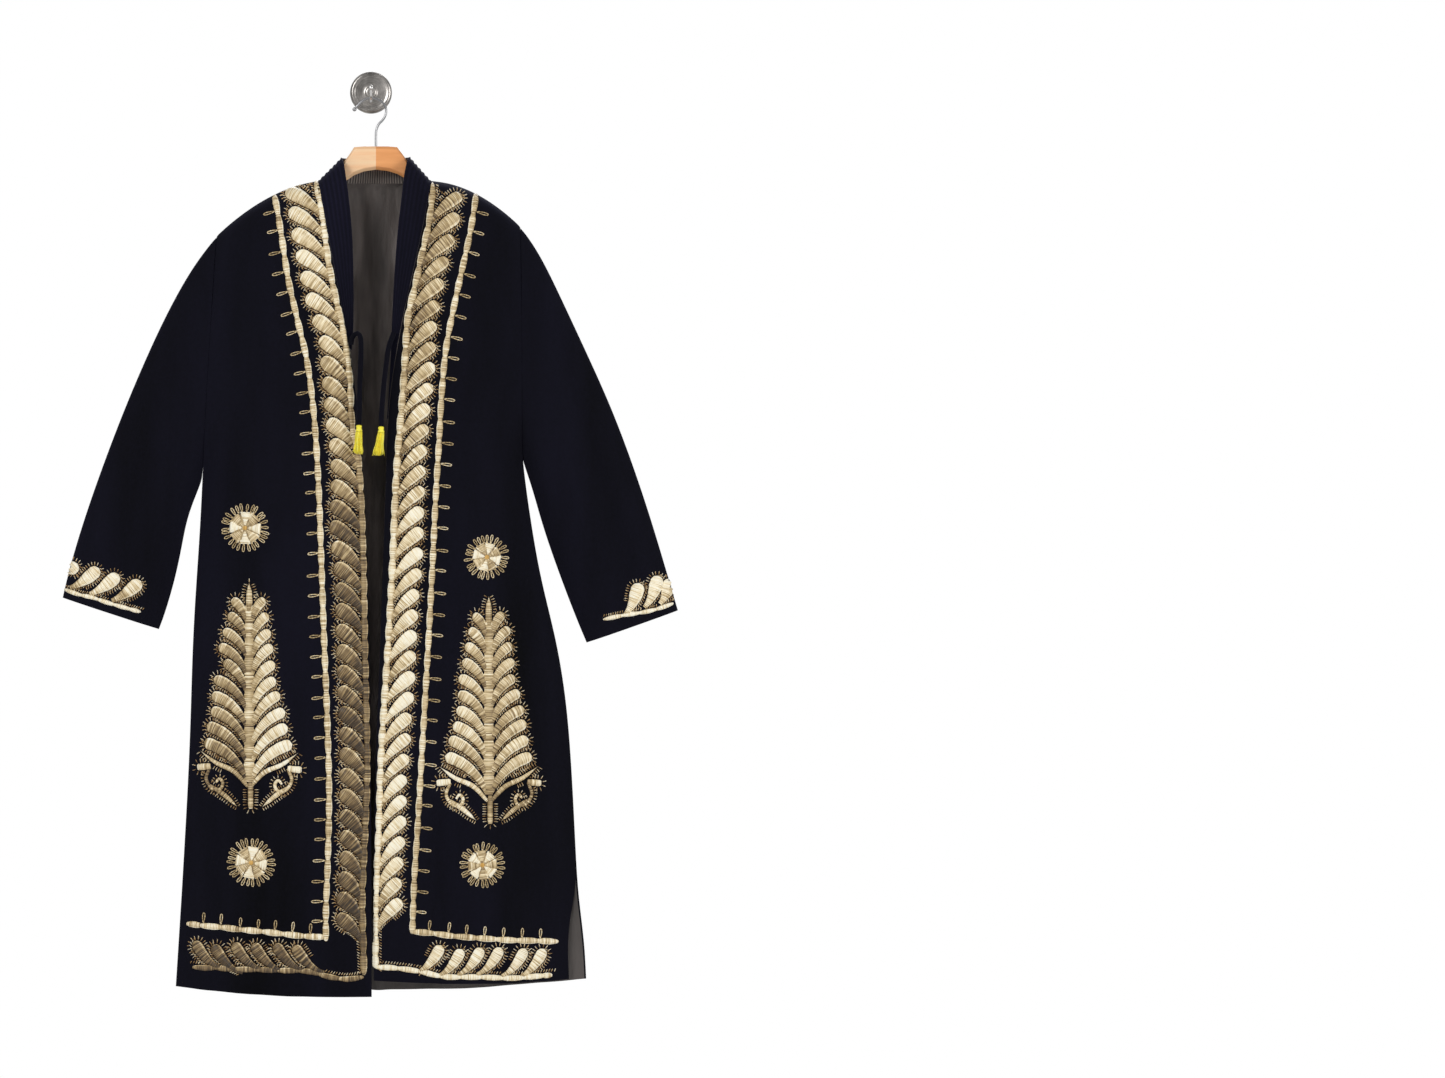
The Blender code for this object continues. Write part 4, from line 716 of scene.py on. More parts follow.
def ribbedBand():
    # the free edge runs nearest the middle of the opening, and the outer face lies in front
    runs = edgeRuns(nodes["neckband"].data)
    runs.sort(key=lambda run: np.mean(np.abs(run[:, 0] - band["middleX"])))
    freeOut, freeIn = sorted(runs[:2], key=lambda run: run[3][1])
    seamOut, seamIn = sorted(runs[2:], key=lambda run: run[3][1])
    count = int(np.linalg.norm(np.diff(seamOut, axis=0), axis=1).sum() / band["step"])
    runs = []
    for chain in (seamOut, freeOut, seamIn, freeIn):
        keys = np.linspace(0, 1, len(chain))
        fine = np.linspace(0, 1, count)
        smooth = curveThrough(np.column_stack([keys * 1000, chain]), 1000 / (count * 3))
        runs.append(np.stack([np.interp(fine * 1000, smooth[:, 0], smooth[:, k]) for k in (1, 2, 3)], 1))
    # at the back of the neck the seam edge is tucked below the cloth's edge
    for seam, free in ((0, 1), (2, 3)):
        down = unit(runs[seam] - runs[free])
        tuck = band["tuck"] * smoothStep((runs[seam][:, 1] - midY) / band["tuckReach"])
        runs[seam] = runs[seam] + down * tuck[:, None]
    columns = band["across"] + 1
    share = np.linspace(0, 1, columns)[None, :, None]
    outer = runs[0][:, None] * (1 - share) + runs[1][:, None] * share
    inner = runs[2][:, None] * (1 - share) + runs[3][:, None] * share
    out = unit(outer - inner)
    wave = np.cos(2 * math.pi * band["ribs"] * np.linspace(0, 1, columns))
    drift = np.array([noise.noise((row / 17, 0.3, 5.1)) for row in range(count)])
    depth = band["ribDepth"] * (wave[None, :] * (0.85 + 0.4 * drift[:, None]) - 0.4)
    outer = outer + out * depth[:, :, None]
    points = np.vstack([outer.reshape(-1, 3), inner.reshape(-1, 3)])
    total = count * columns
    faces = gridFaces(count, columns) + [face[::-1] for face in gridFaces(count, columns, total)]
    order = np.arange(total).reshape(count, columns)
    for rim in (order[0], order[-1], order[:, 0], order[:, -1]):
        faces += [(int(a), int(b), int(b) + total, int(a) + total) for a, b in zip(rim, rim[1:])]
    piece = meshPiece("ribbedNeckband", points, faces, bandVelvet)
    piece.data.materials.append(ribbedSatin())
    cells = (count - 1) * band["across"]
    inside = [1 if cells <= i < cells * 2 else 0 for i in range(len(faces))]
    piece.data.polygons.foreach_set("material_index", inside)
    along = np.concatenate([[0], np.cumsum(np.linalg.norm(np.diff(runs[3], axis=0), axis=1))]) * mm
    spread = np.stack([np.repeat(along, columns), np.tile(np.linspace(0, 1, columns), count)], axis=1)
    setMap(piece, "ribs", np.vstack([spread, spread]))
    smoothShade(piece, 60)
    settle(piece, "velvet", "neckband")
    print("  area neckband", round(areaOf(piece) / 2, 4))


ribbedBand()


# hanger board, wire, wall plate and hook
hangerShape = {"creaseX": 7.0, "creaseForward": 1.3, "creaseReach": 26.0, "edge": 0.0011}
wireSteel = steelMaterial("drawnSteel")
hookSteel = steelMaterial("polishedSteel")
plateSteel = steelMaterial("turnedSteel")


def hangerBoard():
    piece = solidCopy("hanger_wood", "hangerBoard", 60)
    points = vertexArray(piece)
    near = np.clip(1 - np.abs(points[:, 0] - hangerShape["creaseX"]) / hangerShape["creaseReach"], 0, 1)
    points[:, 1] -= np.where(points[:, 1] < midY - 3, hangerShape["creaseForward"] * near, 0)
    setVertices(piece, points)
    applyModifier(piece, "BEVEL", width=hangerShape["edge"], segments=3, angle_limit=math.radians(24))
    smoothShade(piece, 35)
    piece.data.materials.append(woodMaterial())
    settle(piece, "hanger_wood", "hanger_wood")


def rodCurve(name, route, diameter):
    # a round curve along a route
    data = bpy.data.curves.new(name, "CURVE")
    data.dimensions = "3D"
    data.bevel_depth = diameter / 2 * mm
    data.bevel_resolution = 5
    data.use_fill_caps = True
    spline = data.splines.new("POLY")
    spline.points.add(len(route) - 1)
    for place, point in zip(spline.points, route * mm):
        place.co = (*point, 1.0)
    rod = bpy.data.objects.new(name, data)
    bpy.context.scene.collection.objects.link(rod)
    return rod


def bentRod(name, route, size, material, slotName, nodeName):
    # a drawn rod along a route, with a ball at its end
    route = curveThrough(route, size["step"])
    rod = rodCurve(name, route, size["diameter"])
    makeActive(rod)
    bpy.ops.object.convert(target="MESH")
    heading = unit(route[-1] - route[-2])
    deselectAll()
    bpy.ops.mesh.primitive_uv_sphere_add(segments=24, ring_count=14, radius=size["ball"] * mm,
                                         location=tuple((route[-1] + heading * size["ball"] * 0.8) * mm))
    bpy.ops.object.transform_apply(location=True, rotation=True, scale=True)
    rod.select_set(True)
    bpy.context.view_layer.objects.active = rod
    bpy.ops.object.join()
    rod.data.materials.clear()
    rod.data.materials.append(material)
    bpy.ops.object.shade_smooth_by_angle(angle=math.radians(50))
    settle(rod, slotName, nodeName)


wireRoute = {
    "x": (7, 7, 7.6, 11, 17, 21, 21.2, 17, 9.5, 1, -7.5, -14, -18.8, -22),
    "z": (-82.6, -70, -60, -51.5, -45, -37, -29, -21, -16, -14.2, -15.5, -19.5, -24.5, -28.5)}
hookRoute = {
    "y": (-12.3, -18, -26, -34, -43, -50, -54, -58.5, -64, -68.5, -71),
    "z": (-1.5, -1.8, -4.2, -8.5, -14.5, -18, -18.75, -18, -14.5, -9.5, -4.5)}
wireSize = {"diameter": 3.4, "ball": 2.9, "step": 1.6}
hookSize = {"diameter": 4.4, "ball": 3.6, "step": 1.6}
# wall plate: distance from the wall and radius, a ring at a time, with a dark hole in its boss
plateRings = ((0.0, 28.0), (0.6, 29.4), (1.5, 30.0), (3.2, 30.0), (4.2, 29.4), (5.0, 28.5), (6.4, 28.1),
              (7.2, 27.2), (7.5, 25.8), (7.3, 24.2), (6.7, 22.8), (6.4, 21.6), (6.4, 14.0), (6.4, 9.6),
              (6.9, 8.6), (9.2, 8.2), (10.2, 7.6), (10.9, 6.4), (11.0, 4.6), (10.8, 2.6), (9.0, 2.2),
              (8.8, 0.8))


def turnedPlate():
    # a disc whose face is drawn out and in, ring by ring
    deselectAll()
    bpy.ops.mesh.primitive_circle_add(vertices=96, radius=plateRings[0][1] * mm, fill_type="NGON",
                                      rotation=(math.pi / 2, 0, 0))
    piece = bpy.context.active_object
    piece.name = "turnedPlate"
    bpy.ops.object.transform_apply(location=True, rotation=True, scale=True)
    bpy.ops.object.mode_set(mode="EDIT")
    bpy.ops.mesh.select_all(action="SELECT")
    for (out, radius), (nextOut, nextRadius) in zip(plateRings, plateRings[1:]):
        bpy.ops.mesh.extrude_region_move(TRANSFORM_OT_translate={"value": (0, (out - nextOut) * mm, 0)})
        ratio = nextRadius / radius
        bpy.ops.transform.resize(value=(ratio, 1, ratio), center_override=(0, -nextOut * mm, 0))
    bpy.ops.mesh.select_all(action="SELECT")
    bpy.ops.mesh.normals_make_consistent(inside=False)
    bpy.ops.object.mode_set(mode="OBJECT")
    bpy.ops.object.shade_smooth_by_angle(angle=math.radians(32))
    piece.data.materials.append(plateSteel)
    settle(piece, "plate_steel", "wall_plate")


hangerBoard()
bentRod("hangerWire", [(x, midY, z) for x, z in zip(wireRoute["x"], wireRoute["z"])], wireSize, wireSteel,
        "wire_steel", "hanger_wire")
bentRod("wallHook", [(0, y, z) for y, z in zip(hookRoute["y"], hookRoute["z"])], hookSize, hookSteel,
        "plate_steel", "wall_hook")
turnedPlate()
print("hanger and hook made")


# ties and their tassels
tieRoutes = {
    "left": ((-28, -100.1, -367), (-26.5, -100.3, -358), (-22, -102.5, -352), (-17.5, -105.5, -352),
             (-14.8, -107, -358), (-14, -108, -372), (-14.8, -108.5, -400), (-16, -108.8, -430),
             (-16.6, -109, -460), (-16.9, -109, -480)),
    "right": ((32, -98.9, -350), (30, -99.6, -356), (27, -103, -364), (24.5, -105.5, -373),
              (22, -107.5, -390), (19, -108.3, -415), (16.6, -108.6, -440), (15, -108.8, -462),
              (14.2, -109, -482))}
tie = {"diameter": 7.0, "step": 5.0, "uneven": 0.05, "wave": 0.7}
tasselShape = {"seam": 0.3, "length": 41.0, "head": 7.0, "sides": 20, "tone": 0.62, "threads": 84,
               "thread": 0.42, "threadSides": 4, "steps": 7, "wide": 4.1, "turn": 2.39996, "narrow": 0.92,
               "flare": 1.9, "sway": 0.9, "curl": 0.55, "deep": 0.8, "lean": {"left": -1.0, "right": -4.5},
               "rings": ((0.0, 2.2), (0.5, 3.3), (1.5, 4.0), (2.4, 4.2), (3.2, 3.8), (3.9, 3.5), (4.5, 3.7),
                         (5.1, 3.5), (5.7, 3.9), (7.4, 4.7), (8.6, 4.4))}
yellow = threadMaterial("yellowThread", yellowStops, 0.55)


def ringFaces(first, second, sides):
    return [(first + i, first + (i + 1) % sides, second + (i + 1) % sides, second + i) for i in range(sides)]


class Tuft:
    # gathers the points, faces, map and tone of many thin threads
    def __init__(self):
        self.points = []
        self.faces = []
        self.tones = []
        self.maps = []

    def ring(self, middle, radius, sides, tone, along):
        start = len(self.points)
        for i in range(sides):
            turn = 2 * math.pi * i / sides
            self.points.append(np.array(middle) + radius * np.array((math.cos(turn), math.sin(turn), 0)))
            self.tones.append(tone)
            self.maps.append((along * 0.01, i * 0.002))
        return start

    def skin(self, rings, sides):
        for first, second in zip(rings, rings[1:]):
            self.faces += ringFaces(first, second, sides)
        self.faces += [tuple(range(end, end + sides)) for end in (rings[0], rings[-1])]

    def thread(self, line, radius, sides, tone):
        rings = []
        for i, middle in enumerate(line):
            swell = 0.55 if i in (0, len(line) - 1) else 1.0
            rings.append(self.ring(middle, radius * swell, sides, tone + 0.03 * math.sin(i * 2.1), i * 3.0))
        self.skin(rings, sides)


def setThreads(piece, tones, maps):
    # tone and map, as the thread materials read them; the tone holds painted light and shade as well as the
    # threads' own tone
    layer = piece.data.attributes.new("tone", "FLOAT", "POINT")
    layer.data.foreach_set("value", np.clip(np.asarray(tones, float), 0, 1))
    setMap(piece, "threads", maps)


def madeTassel(side, end, seed):
    shape = tasselShape
    random = np.random.default_rng(seed)
    work = Tuft()
    x, y, z = end
    top = z - shape["seam"]
    rings = [work.ring((x, y, top - down), radius, shape["sides"], shape["tone"] + 0.10 * (i % 2), down)
             for i, (down, radius) in enumerate(shape["rings"])]
    work.skin(rings, shape["sides"])
    for i in range(shape["threads"]):
        turn = i * shape["turn"]
        radius = shape["wide"] * math.sqrt((i + 0.5) / shape["threads"])
        sway = random.uniform(-shape["sway"], shape["sway"], 2)
        flare = shape["flare"] * random.uniform(0.75, 1.12)
        long = shape["length"] - shape["head"] + random.uniform(-3.5, 1.0)
        line = []
        for share in np.arange(shape["steps"]) / (shape["steps"] - 1):
            spread = radius * (shape["narrow"] + (flare - shape["narrow"]) * share ** 1.2)
            curl = shape["curl"] * math.sin(share * 7 + turn * 3)
            across = spread * math.cos(turn) + sway[0] * share + curl + shape["lean"][side] * share
            deep = spread * shape["deep"] * math.sin(turn) + sway[1] * share
            line.append((x + across, y + deep, top - shape["head"] + 0.5 - long * share))
        work.thread(line, shape["thread"], shape["threadSides"], random.uniform(0.35, 0.85))
    piece = meshPiece("tassel" + side.title(), work.points, work.faces, yellow)
    setThreads(piece, work.tones, work.maps)
    settle(piece, "tassel_thread", "tassel_" + side)
    return piece


def velvetTie(side, seed):
    route = curveThrough(tieRoutes[side], tie["step"])
    piece = rodCurve("tie" + side.title(), route, tie["diameter"])
    for i, place in enumerate(piece.data.splines[0].points):
        place.radius = 1.0 + tie["uneven"] * noise.noise((i * tie["wave"], seed, 0.0))
    piece.data.materials.append(velvet)
    settle(piece, "velvet", "tie_" + side)
    tassel = madeTassel(side, tieRoutes[side][-1], int(seed * 10))


velvetTie("left", 1.3)
velvetTie("right", 2.7)
print("ties made")


# embroidery: padded satin stitches laid on the finished velvet
gold = threadMaterial("goldThread", goldStops)
couching = threadMaterial("couchedThread", couchStops, 0.5)
orange = threadMaterial("orangeThread", orangeStops, 0.5)
stitch = {"sunk": 0.25, "height": 3.2, "bundle": 1.9, "dashGap": 0.9, "dashLong": 6.8, "dashWide": 1.25,
          "dashHigh": 1.2, "dashStep": 3.3, "dashShade": 0.16, "dashTones": (-0.28, -0.05, 0.12, 0.28),
          "dashSizes": (1.0, 0.75, 0.5, 0.35), "loopThread": 0.62, "loopStations": 14}
leafShape = {"points": 60, "rows": (7, 32), "end": 0.14, "root": (0.45, 2.2), "crown": 2.4, "uneven": 0.02,
             "bundleHigh": 0.13, "fullHalf": 5}
# a leaf's painted light and shade, with the light from the upper left, and the random tone of its thread
# bundles
leafToneAndShade = {"base": 0.10, "fade": 1.3, "bundle": 0.055, "light": (-0.5, 0.85), "side": 0.09, "crestHighlight": 0.07,
            "edge": 0.22, "rim": 0.42}
acrossShares = np.array((-1.0, -0.88, -0.55, 0.0, 0.55, 0.88, 1.0))


def bentLine(start, bend, end, count=13):
    # a line that leaves its start towards the bend and arrives at its end
    t = np.linspace(0, 1, count)[:, None]
    start, bend, end = (np.asarray(point, float) for point in (start, bend, end))
    return (1 - t) ** 2 * start + 2 * t * (1 - t) * bend + t ** 2 * end


def evenly(line, count):
    along = np.concatenate([[0], np.cumsum(np.linalg.norm(np.diff(line, axis=0), axis=1))])
    keys = np.linspace(0, along[-1], count)
    return np.stack([np.interp(keys, along, line[:, k]) for k in (0, 1)], axis=1), along[-1]


# widths along a leaf, for its share of the length and how stubby it is
def petalWidth(share, stub, tail=0.33):
    # narrow where it grows from its stem, widest near its round end
    shoulder = 1 - np.clip(stub * 1.1, 0.12, 0.45)
    body = tail + (1 - tail) * smoothStep(share / shoulder / 0.92)
    cap = np.sqrt(np.clip(1 - ((share - shoulder) / (1 - shoulder)) ** 2, 0, 1))
    return np.where(share < shoulder, body, body * cap) + 0.03


def clubWidth(share, stub):
    return petalWidth(share, stub, 0.24)


def branchWidth(share, stub):
    return petalWidth(share, stub, 0.52)


def ropeWidth(share, stub):
    return 0.30 + 0.70 * np.sin(np.pi * np.clip(share, 0, 1)) ** 0.6


def spearWidth(share, stub):
    body = 0.45 + 0.55 * np.sin(np.pi * np.clip(share * 0.9 + 0.12, 0, 1))
    return body - 0.42 * smoothStep((share - 0.75) / 0.25)


def fanWidth(share, stub):
    return 0.16 + 0.84 * share


def barWidth(share, stub):
    return 1.0 - 0.25 * smoothStep((share - 0.85) / 0.15) - 0.25 * smoothStep((0.15 - share) / 0.15)


class Needlework:
    # gathers the stitches of one ornament, flat, and then lays them on the cloth
    def __init__(self, cloth, side, seed):
        self.cloth = surfaces[cloth]
        self.side = side
        self.random = np.random.default_rng(seed)
        self.flat = []
        self.faces = []
        self.maps = []
        self.tones = []
        self.looks = []
        self.count = 0
        self.outlines = []
        self.discs = []

    def add(self, places, faces, maps, tones, look=0):
        self.faces += [tuple(self.count + i for i in face) for face in faces]
        self.looks += [look] * len(faces)
        self.flat.append(np.asarray(places, float))
        self.maps.append(np.asarray(maps, float))
        self.tones.append(np.broadcast_to(tones, len(places)).astype(float))
        self.count += len(places)

    def leaf(self, line, half, width=petalWidth, tone=0.55, height=None, rows=None, rim=0, lift=0.0,
             shadow=0.40, keep=True):
        # one padded leaf, stitched across, with light and shade painted into its tone; rim lights its left or
        # its right edge
        height = height or stitch["height"]
        fine, long = evenly(np.asarray(line, float), leafShape["points"])
        rows = rows or int(np.clip(long / stitch["bundle"], *leafShape["rows"]))
        spots, long = evenly(fine, rows)
        share = np.linspace(0, 1, rows)
        across = perpendicular(unit(np.gradient(spots, axis=0)))
        bundles = self.random.normal(0, 1, rows)
        wide = half * width(share, half / long) * (1 + leafShape["uneven"] * bundles)
        columns = len(acrossShares)
        places = np.zeros((rows, columns, 3))
        places[:, :, :2] = spots[:, None] + across[:, None] * (wide[:, None] * acrossShares)[:, :, None]
        start, growth = leafShape["root"]
        cover = np.sqrt(np.clip((1 - share) / leafShape["end"], 0.02, 1))
        cover = cover * np.clip(start + share * growth, 0, 1)
        crown = (1 - np.abs(acrossShares) ** leafShape["crown"])[None, :]
        places[:, :, 2] = lift - stitch["sunk"] + (height + stitch["sunk"]) * cover[:, None] * crown
        bulge = leafShape["bundleHigh"] * np.clip(half / leafShape["fullHalf"], 0, 1)
        places[:, 1:-1, 2] += bulge * bundles[:, None]
        maps = np.stack(np.broadcast_arrays((share * long)[:, None] * 0.01,
                                            0.01 * wide[:, None] * acrossShares[None, :]), axis=-1)
        maps = maps + self.random.uniform(0, 3, 2)
        # painted shade towards the root and at the edges, painted light on the side towards the light and along
        # the crest; the bundles add random tone
        shade = tone + leafToneAndShade["base"] - shadow * (1 - share[:, None]) ** leafToneAndShade["fade"]
        shade = shade + leafToneAndShade["bundle"] * bundles[:, None] + np.zeros((rows, columns))
        shade += leafToneAndShade["side"] * (across @ np.array(leafToneAndShade["light"]))[:, None] * acrossShares[None, :]
        shade += leafToneAndShade["crestHighlight"] * np.clip(1 - np.abs(acrossShares) * 1.3, 0, 1)[None, :]
        shade -= leafToneAndShade["edge"] * (np.abs(acrossShares) > 0.95)[None, :]
        if rim:
            lit = acrossShares * rim > 0.8
            shade += leafToneAndShade["rim"] * lit[None, :] * np.clip(share * 3, 0, 1)[:, None]
        last = columns - 1
        faces = gridFaces(rows, columns)
        faces += [(i * columns + columns, i * columns + columns + last, i * columns + last, i * columns)
                  for i in range(rows - 1)]
        faces += [tuple(range(columns)), tuple(range((rows - 1) * columns, rows * columns))]
        self.add(places.reshape(-1, 3), faces, maps.reshape(-1, 2), shade.ravel())
        if keep:
            owner = len(self.outlines)
            self.outlines.append((spots, across, wide))
            self.discs += [(x, z, r, owner) for (x, z), r in zip(spots, wide)]
        return len(self.outlines) - 1

    def dash(self, start, end, tone):
        # one short padded stitch
        high = stitch["dashHigh"]
        side = perpendicular(unit(end - start)) * stitch["dashWide"] / 2
        low = -stitch["sunk"] * 0.4
        places = [(*start, low)]
        for share in (0.25, 0.75):
            middle = start + (end - start) * share
            places += [(*(middle - side), low), (*middle, high), (*(middle + side), low)]
        places.append((*end, low))
        faces = [(0, 1, 2), (0, 2, 3), (0, 3, 1), (1, 4, 5, 2), (2, 5, 6, 3), (3, 6, 4, 1), (7, 5, 4),
                 (7, 6, 5), (7, 4, 6)]
        maps = [(self.random.uniform(0, 3), i * 0.004) for i in range(8)]
        # the end away from the leaf catches more light
        self.add(places, faces, maps, tone + stitch["dashShade"] * np.array((-1,) * 4 + (1,) * 4), 1)

    def loop(self, start, heading, long, wide, tone):
        # one lazy loop of double thread
        heading = unit(np.asarray(heading, float))
        stations = stitch["loopStations"]
        thread = stitch["loopThread"]
        turn = np.arange(stations) * 2 * math.pi / stations
        along = long * (1 - np.cos(turn)) / 2
        out = wide / 2 * np.sin(turn) * (0.35 + 0.65 * along / long)
        line = start + along[:, None] * heading + out[:, None] * perpendicular(heading)
        across = perpendicular(unit(np.roll(line, -1, axis=0) - np.roll(line, 1, axis=0)))
        places = []
        for point, normal in zip(line, across):
            places += [(*(point + normal * thread), thread), (*point, thread * 2),
                       (*(point - normal * thread), thread), (*point, -0.05)]
        faces = []
        for i in range(stations):
            faces += ringFaces(i * 4, (i + 1) % stations * 4, 4)
        maps = [(i * 0.01, k * 0.004) for i in range(stations) for k in range(4)]
        self.add(places, faces, maps, tone)

    def dome(self, x, z, radius, height, tone, sides=8, look=0, lift=0.0):
        turns = np.arange(sides) * 2 * math.pi / sides
        places = [(x, z, lift + height)]
        for share, high in ((0.55, lift + height * 0.8), (1.0, lift - stitch["sunk"])):
            reach = radius * share
            places += [(x + reach * math.cos(turn), z + reach * math.sin(turn), high) for turn in turns]
        faces = [(0, 1 + i, 1 + (i + 1) % sides) for i in range(sides)]
        for i in range(sides):
            after = (i + 1) % sides
            faces.append((1 + i, 1 + sides + i, 1 + sides + after, 1 + after))
        faces.append(tuple(range(1 + sides, 1 + 2 * sides)))
        maps = [(place[0] * 0.01, place[1] * 0.01) for place in places]
        self.add(places, faces, maps, tone, look)

    def crowded(self, point, own, room):
        table = self.discTable
        apart = np.hypot(table[:, 0] - point[0], table[:, 1] - point[1]) - table[:, 2]
        return bool(np.any((apart < room) & (table[:, 3] != own)))

    def row(self, line, outward, own=-9, long=4.2, step=3.4, slant=0.0, gap=0.8, tone=0.62, room=0.8):
        # short stitches side by side along a line, each as long as there is room for
        self.discTable = np.array(self.discs)
        line = np.asarray(line, float)
        total = np.linalg.norm(np.diff(line, axis=0), axis=1).sum()
        spots, total = evenly(line, max(3, int(round(total / step))))
        heading = unit(np.gradient(spots, axis=0))
        across = perpendicular(heading)
        if np.dot(across[0], outward) < 0:
            across = -across
        for point, out, along in zip(spots, across, heading):
            reach = unit(out * math.cos(slant) + along * math.sin(slant))
            inner = point + reach * gap
            for size in stitch["dashSizes"]:
                outer = inner + reach * long * size
                middle = (inner + outer) / 2
                if not self.crowded(outer, own, room) and not self.crowded(middle, own, room * 0.6):
                    jitter = self.random.uniform(-0.25, 0.25, 2)
                    shade = tone + self.random.choice(stitch["dashTones"]) + self.random.uniform(-0.06, 0.06)
                    self.dash(inner + jitter, outer + jitter, shade)
                    break

    def halo(self, own, start=0.35, side=0, **settings):
        # a row round the end of one leaf, or along one side of it
        spots, across, wide = self.outlines[own]
        first = int(start * len(spots))
        left = spots + across * wide[:, None]
        right = spots - across * wide[:, None]
        ring = np.vstack([left[first:], right[first:][::-1]])
        if side:
            ring = (left if side > 0 else right)[first:]
        usual = {"long": stitch["dashLong"], "step": stitch["dashStep"], "gap": stitch["dashGap"]}
        self.row(ring, ring[0] - spots[first], own, **{**usual, **settings})

    def between(self, own, start, side, slant, long=4.0, step=3.2, tone=0.62):
        # slanted stitches in the narrow gap between one leaf and the next
        self.halo(own, start=start, side=side, slant=slant, long=long, step=step, gap=0.3, tone=tone, room=0.1)

    def laid(self, name, nodeName):
        # every point goes to the velvet below it, and out along the velvet's own direction
        flat = np.vstack(self.flat)
        points = np.empty((len(flat), 3))
        facing = Vector((0, self.side, 0))
        near = (midY + self.side * 8) * mm
        for i, (x, z, height) in enumerate(flat):
            spot, normal = self.cloth.ray_cast(Vector((x * mm, self.side, z * mm)), -facing)[:2]
            if spot is None:
                spot, normal = self.cloth.find_nearest(Vector((x * mm, near, z * mm)))[:2]
            if normal.dot(facing) < 0:
                normal = -normal
            points[i] = (spot + normal * height * mm) / mm
        piece = meshPiece(name, points, self.faces, gold)
        piece.data.materials.append(couching)
        piece.data.materials.append(orange)
        piece.data.polygons.foreach_set("material_index", self.looks)
        setThreads(piece, np.concatenate(self.tones), np.vstack(self.maps))
        smoothShade(piece, 60)
        settle(piece, "gold_thread", nodeName)
        print("  sewn", name, len(self.faces), "faces")


def titled(name):
    return "".join(part.title() for part in name.split("_"))


def column(table, key):
    return np.array(table[key], float)


def alongZ(table, z):
    # x of a line that runs down the cloth, at a height
    return np.interp(z, column(table, "z")[::-1], column(table, "x")[::-1])


# the two garlands: stem down the front and along the hem, tips of the petals, and the line outside
# tone and low: brightness of the top and of the bottom petals, a painted reflection, as the satin threads shine
# more or less by their direction
garlands = {
    "left": {
        "cloth": "front_left", "side": -1, "seed": 5, "half": 10.3, "width": petalWidth, "tone": 0.74,
        "low": 0.15, "rim": -1,
        "stem": {"z": (-131, -182, -251, -305, -352, -415, -478, -530, -585, -670, -784, -875, -964, -1074,
                       -1146, -1212, -1254),
                 "x": (-78, -69, -60, -49, -38, -30, -27, -18, -14, -11, -9, -7, -5.5, -9.5, -12.5, -11, -10)},
        "hem": ((-10, -1257), (-34, -1260), (-58, -1257), (-85, -1250), (-150, -1248), (-259, -1247)),
        "tips": {"z": (-146, -204, -269, -302, -356, -417, -478, -515, -574, -609, -637, -698, -782, -870,
                       -923, -1095, -1126, -1180),
                 "x": (-121, -112, -99, -91, -73, -68, -62, -56, -56, -59, -56, -50, -48.5, -45.5, -43.5, -43,
                       -47, -48)},
        "first": -146, "steps": (30.5, 29.0), "change": -300, "last": -1184, "drop": (17, 40),
        "hemTips": ((-250, -1210), (-223, -1214), (-194, -1210), (-166, -1210.5), (-135, -1210),
                    (-108, -1212.5)),
        "hemBend": (18, -33), "hemRoot": (42, -38),
        "line": ((-138, -149), (-133, -172), (-126, -214), (-117, -272), (-104, -330), (-91, -385), (-83, -440),
                 (-77, -510), (-73, -585), (-70, -670), (-66, -784), (-61.5, -897), (-59, -1000), (-61, -1100),
                 (-63.5, -1165), (-63.5, -1207)),
        "lowLine": ((-60, -1201), (-90, -1200), (-130, -1196), (-190, -1191), (-262, -1186)), "barStep": 28.5},
    "right": {
        "cloth": "front_right", "side": 1, "seed": 9, "half": 9.0, "width": clubWidth, "tone": 0.50,
        "low": 0.80, "rim": -1,
        "stem": {"z": (-136, -182, -244, -285, -329, -378, -423, -474, -537, -595, -670, -784, -875, -964,
                       -1037, -1110, -1174, -1244),
                 "x": (87, 84, 71, 62, 52, 48.5, 45.5, 41.5, 36.5, 33.5, 30.5, 24.5, 18.5, 13.5, 11.5, 8.5,
                       6.5, 6)},
        "hem": ((5, -1243), (30, -1244), (67, -1249), (99, -1256), (156, -1258), (202, -1260), (257, -1258)),
        "tips": {"z": (-153, -185, -219, -251, -280, -310, -340, -403, -434, -459, -495, -523, -582, -677,
                       -704, -764, -853, -881, -937, -968, -1027, -1081, -1112, -1168),
                 "x": (128.5, 124, 116, 107, 101, 95.7, 91, 89, 86, 81, 80, 76.4, 74, 71.7, 67.6, 63.6, 60,
                       56.4, 54, 49.3, 48.8, 45.7, 41, 44.6)},
        "first": -153, "steps": (31.0, 29.0), "change": -300, "last": -1172, "drop": (20, 45),
        "hemTips": ((99, -1212.5), (128, -1218), (156, -1216.5), (183, -1216.5), (218, -1219), (245, -1220.5)),
        "hemBend": (-14, -30), "hemRoot": (-34, -38),
        "line": ((149.5, -147), (146, -172), (139, -212), (128, -262), (117, -312), (106, -370), (100, -430),
                 (96, -500), (91, -585), (87, -670), (82, -765), (76, -869), (71, -954), (66, -1040),
                 (61, -1120), (58, -1196)),
        "lowLine": ((55, -1193), (80, -1195), (120, -1200), (190, -1206), (266, -1211)), "barStep": 30.0},
}
hemHalf = 7.8             # half the width of a petal at the hem
rope = {"stemHalf": 5.3, "lineHalf": 4.7, "segment": 39.0, "pitch": 29.5, "stemHigh": 3.1, "lineHigh": 2.4}
bars = {"long": 16.0, "wide": 4.6, "lowShare": 0.85, "lowStep": 26.5, "tone": 0.62}
onStem = -5               # owner of the stitches that lie on a rope or a stem


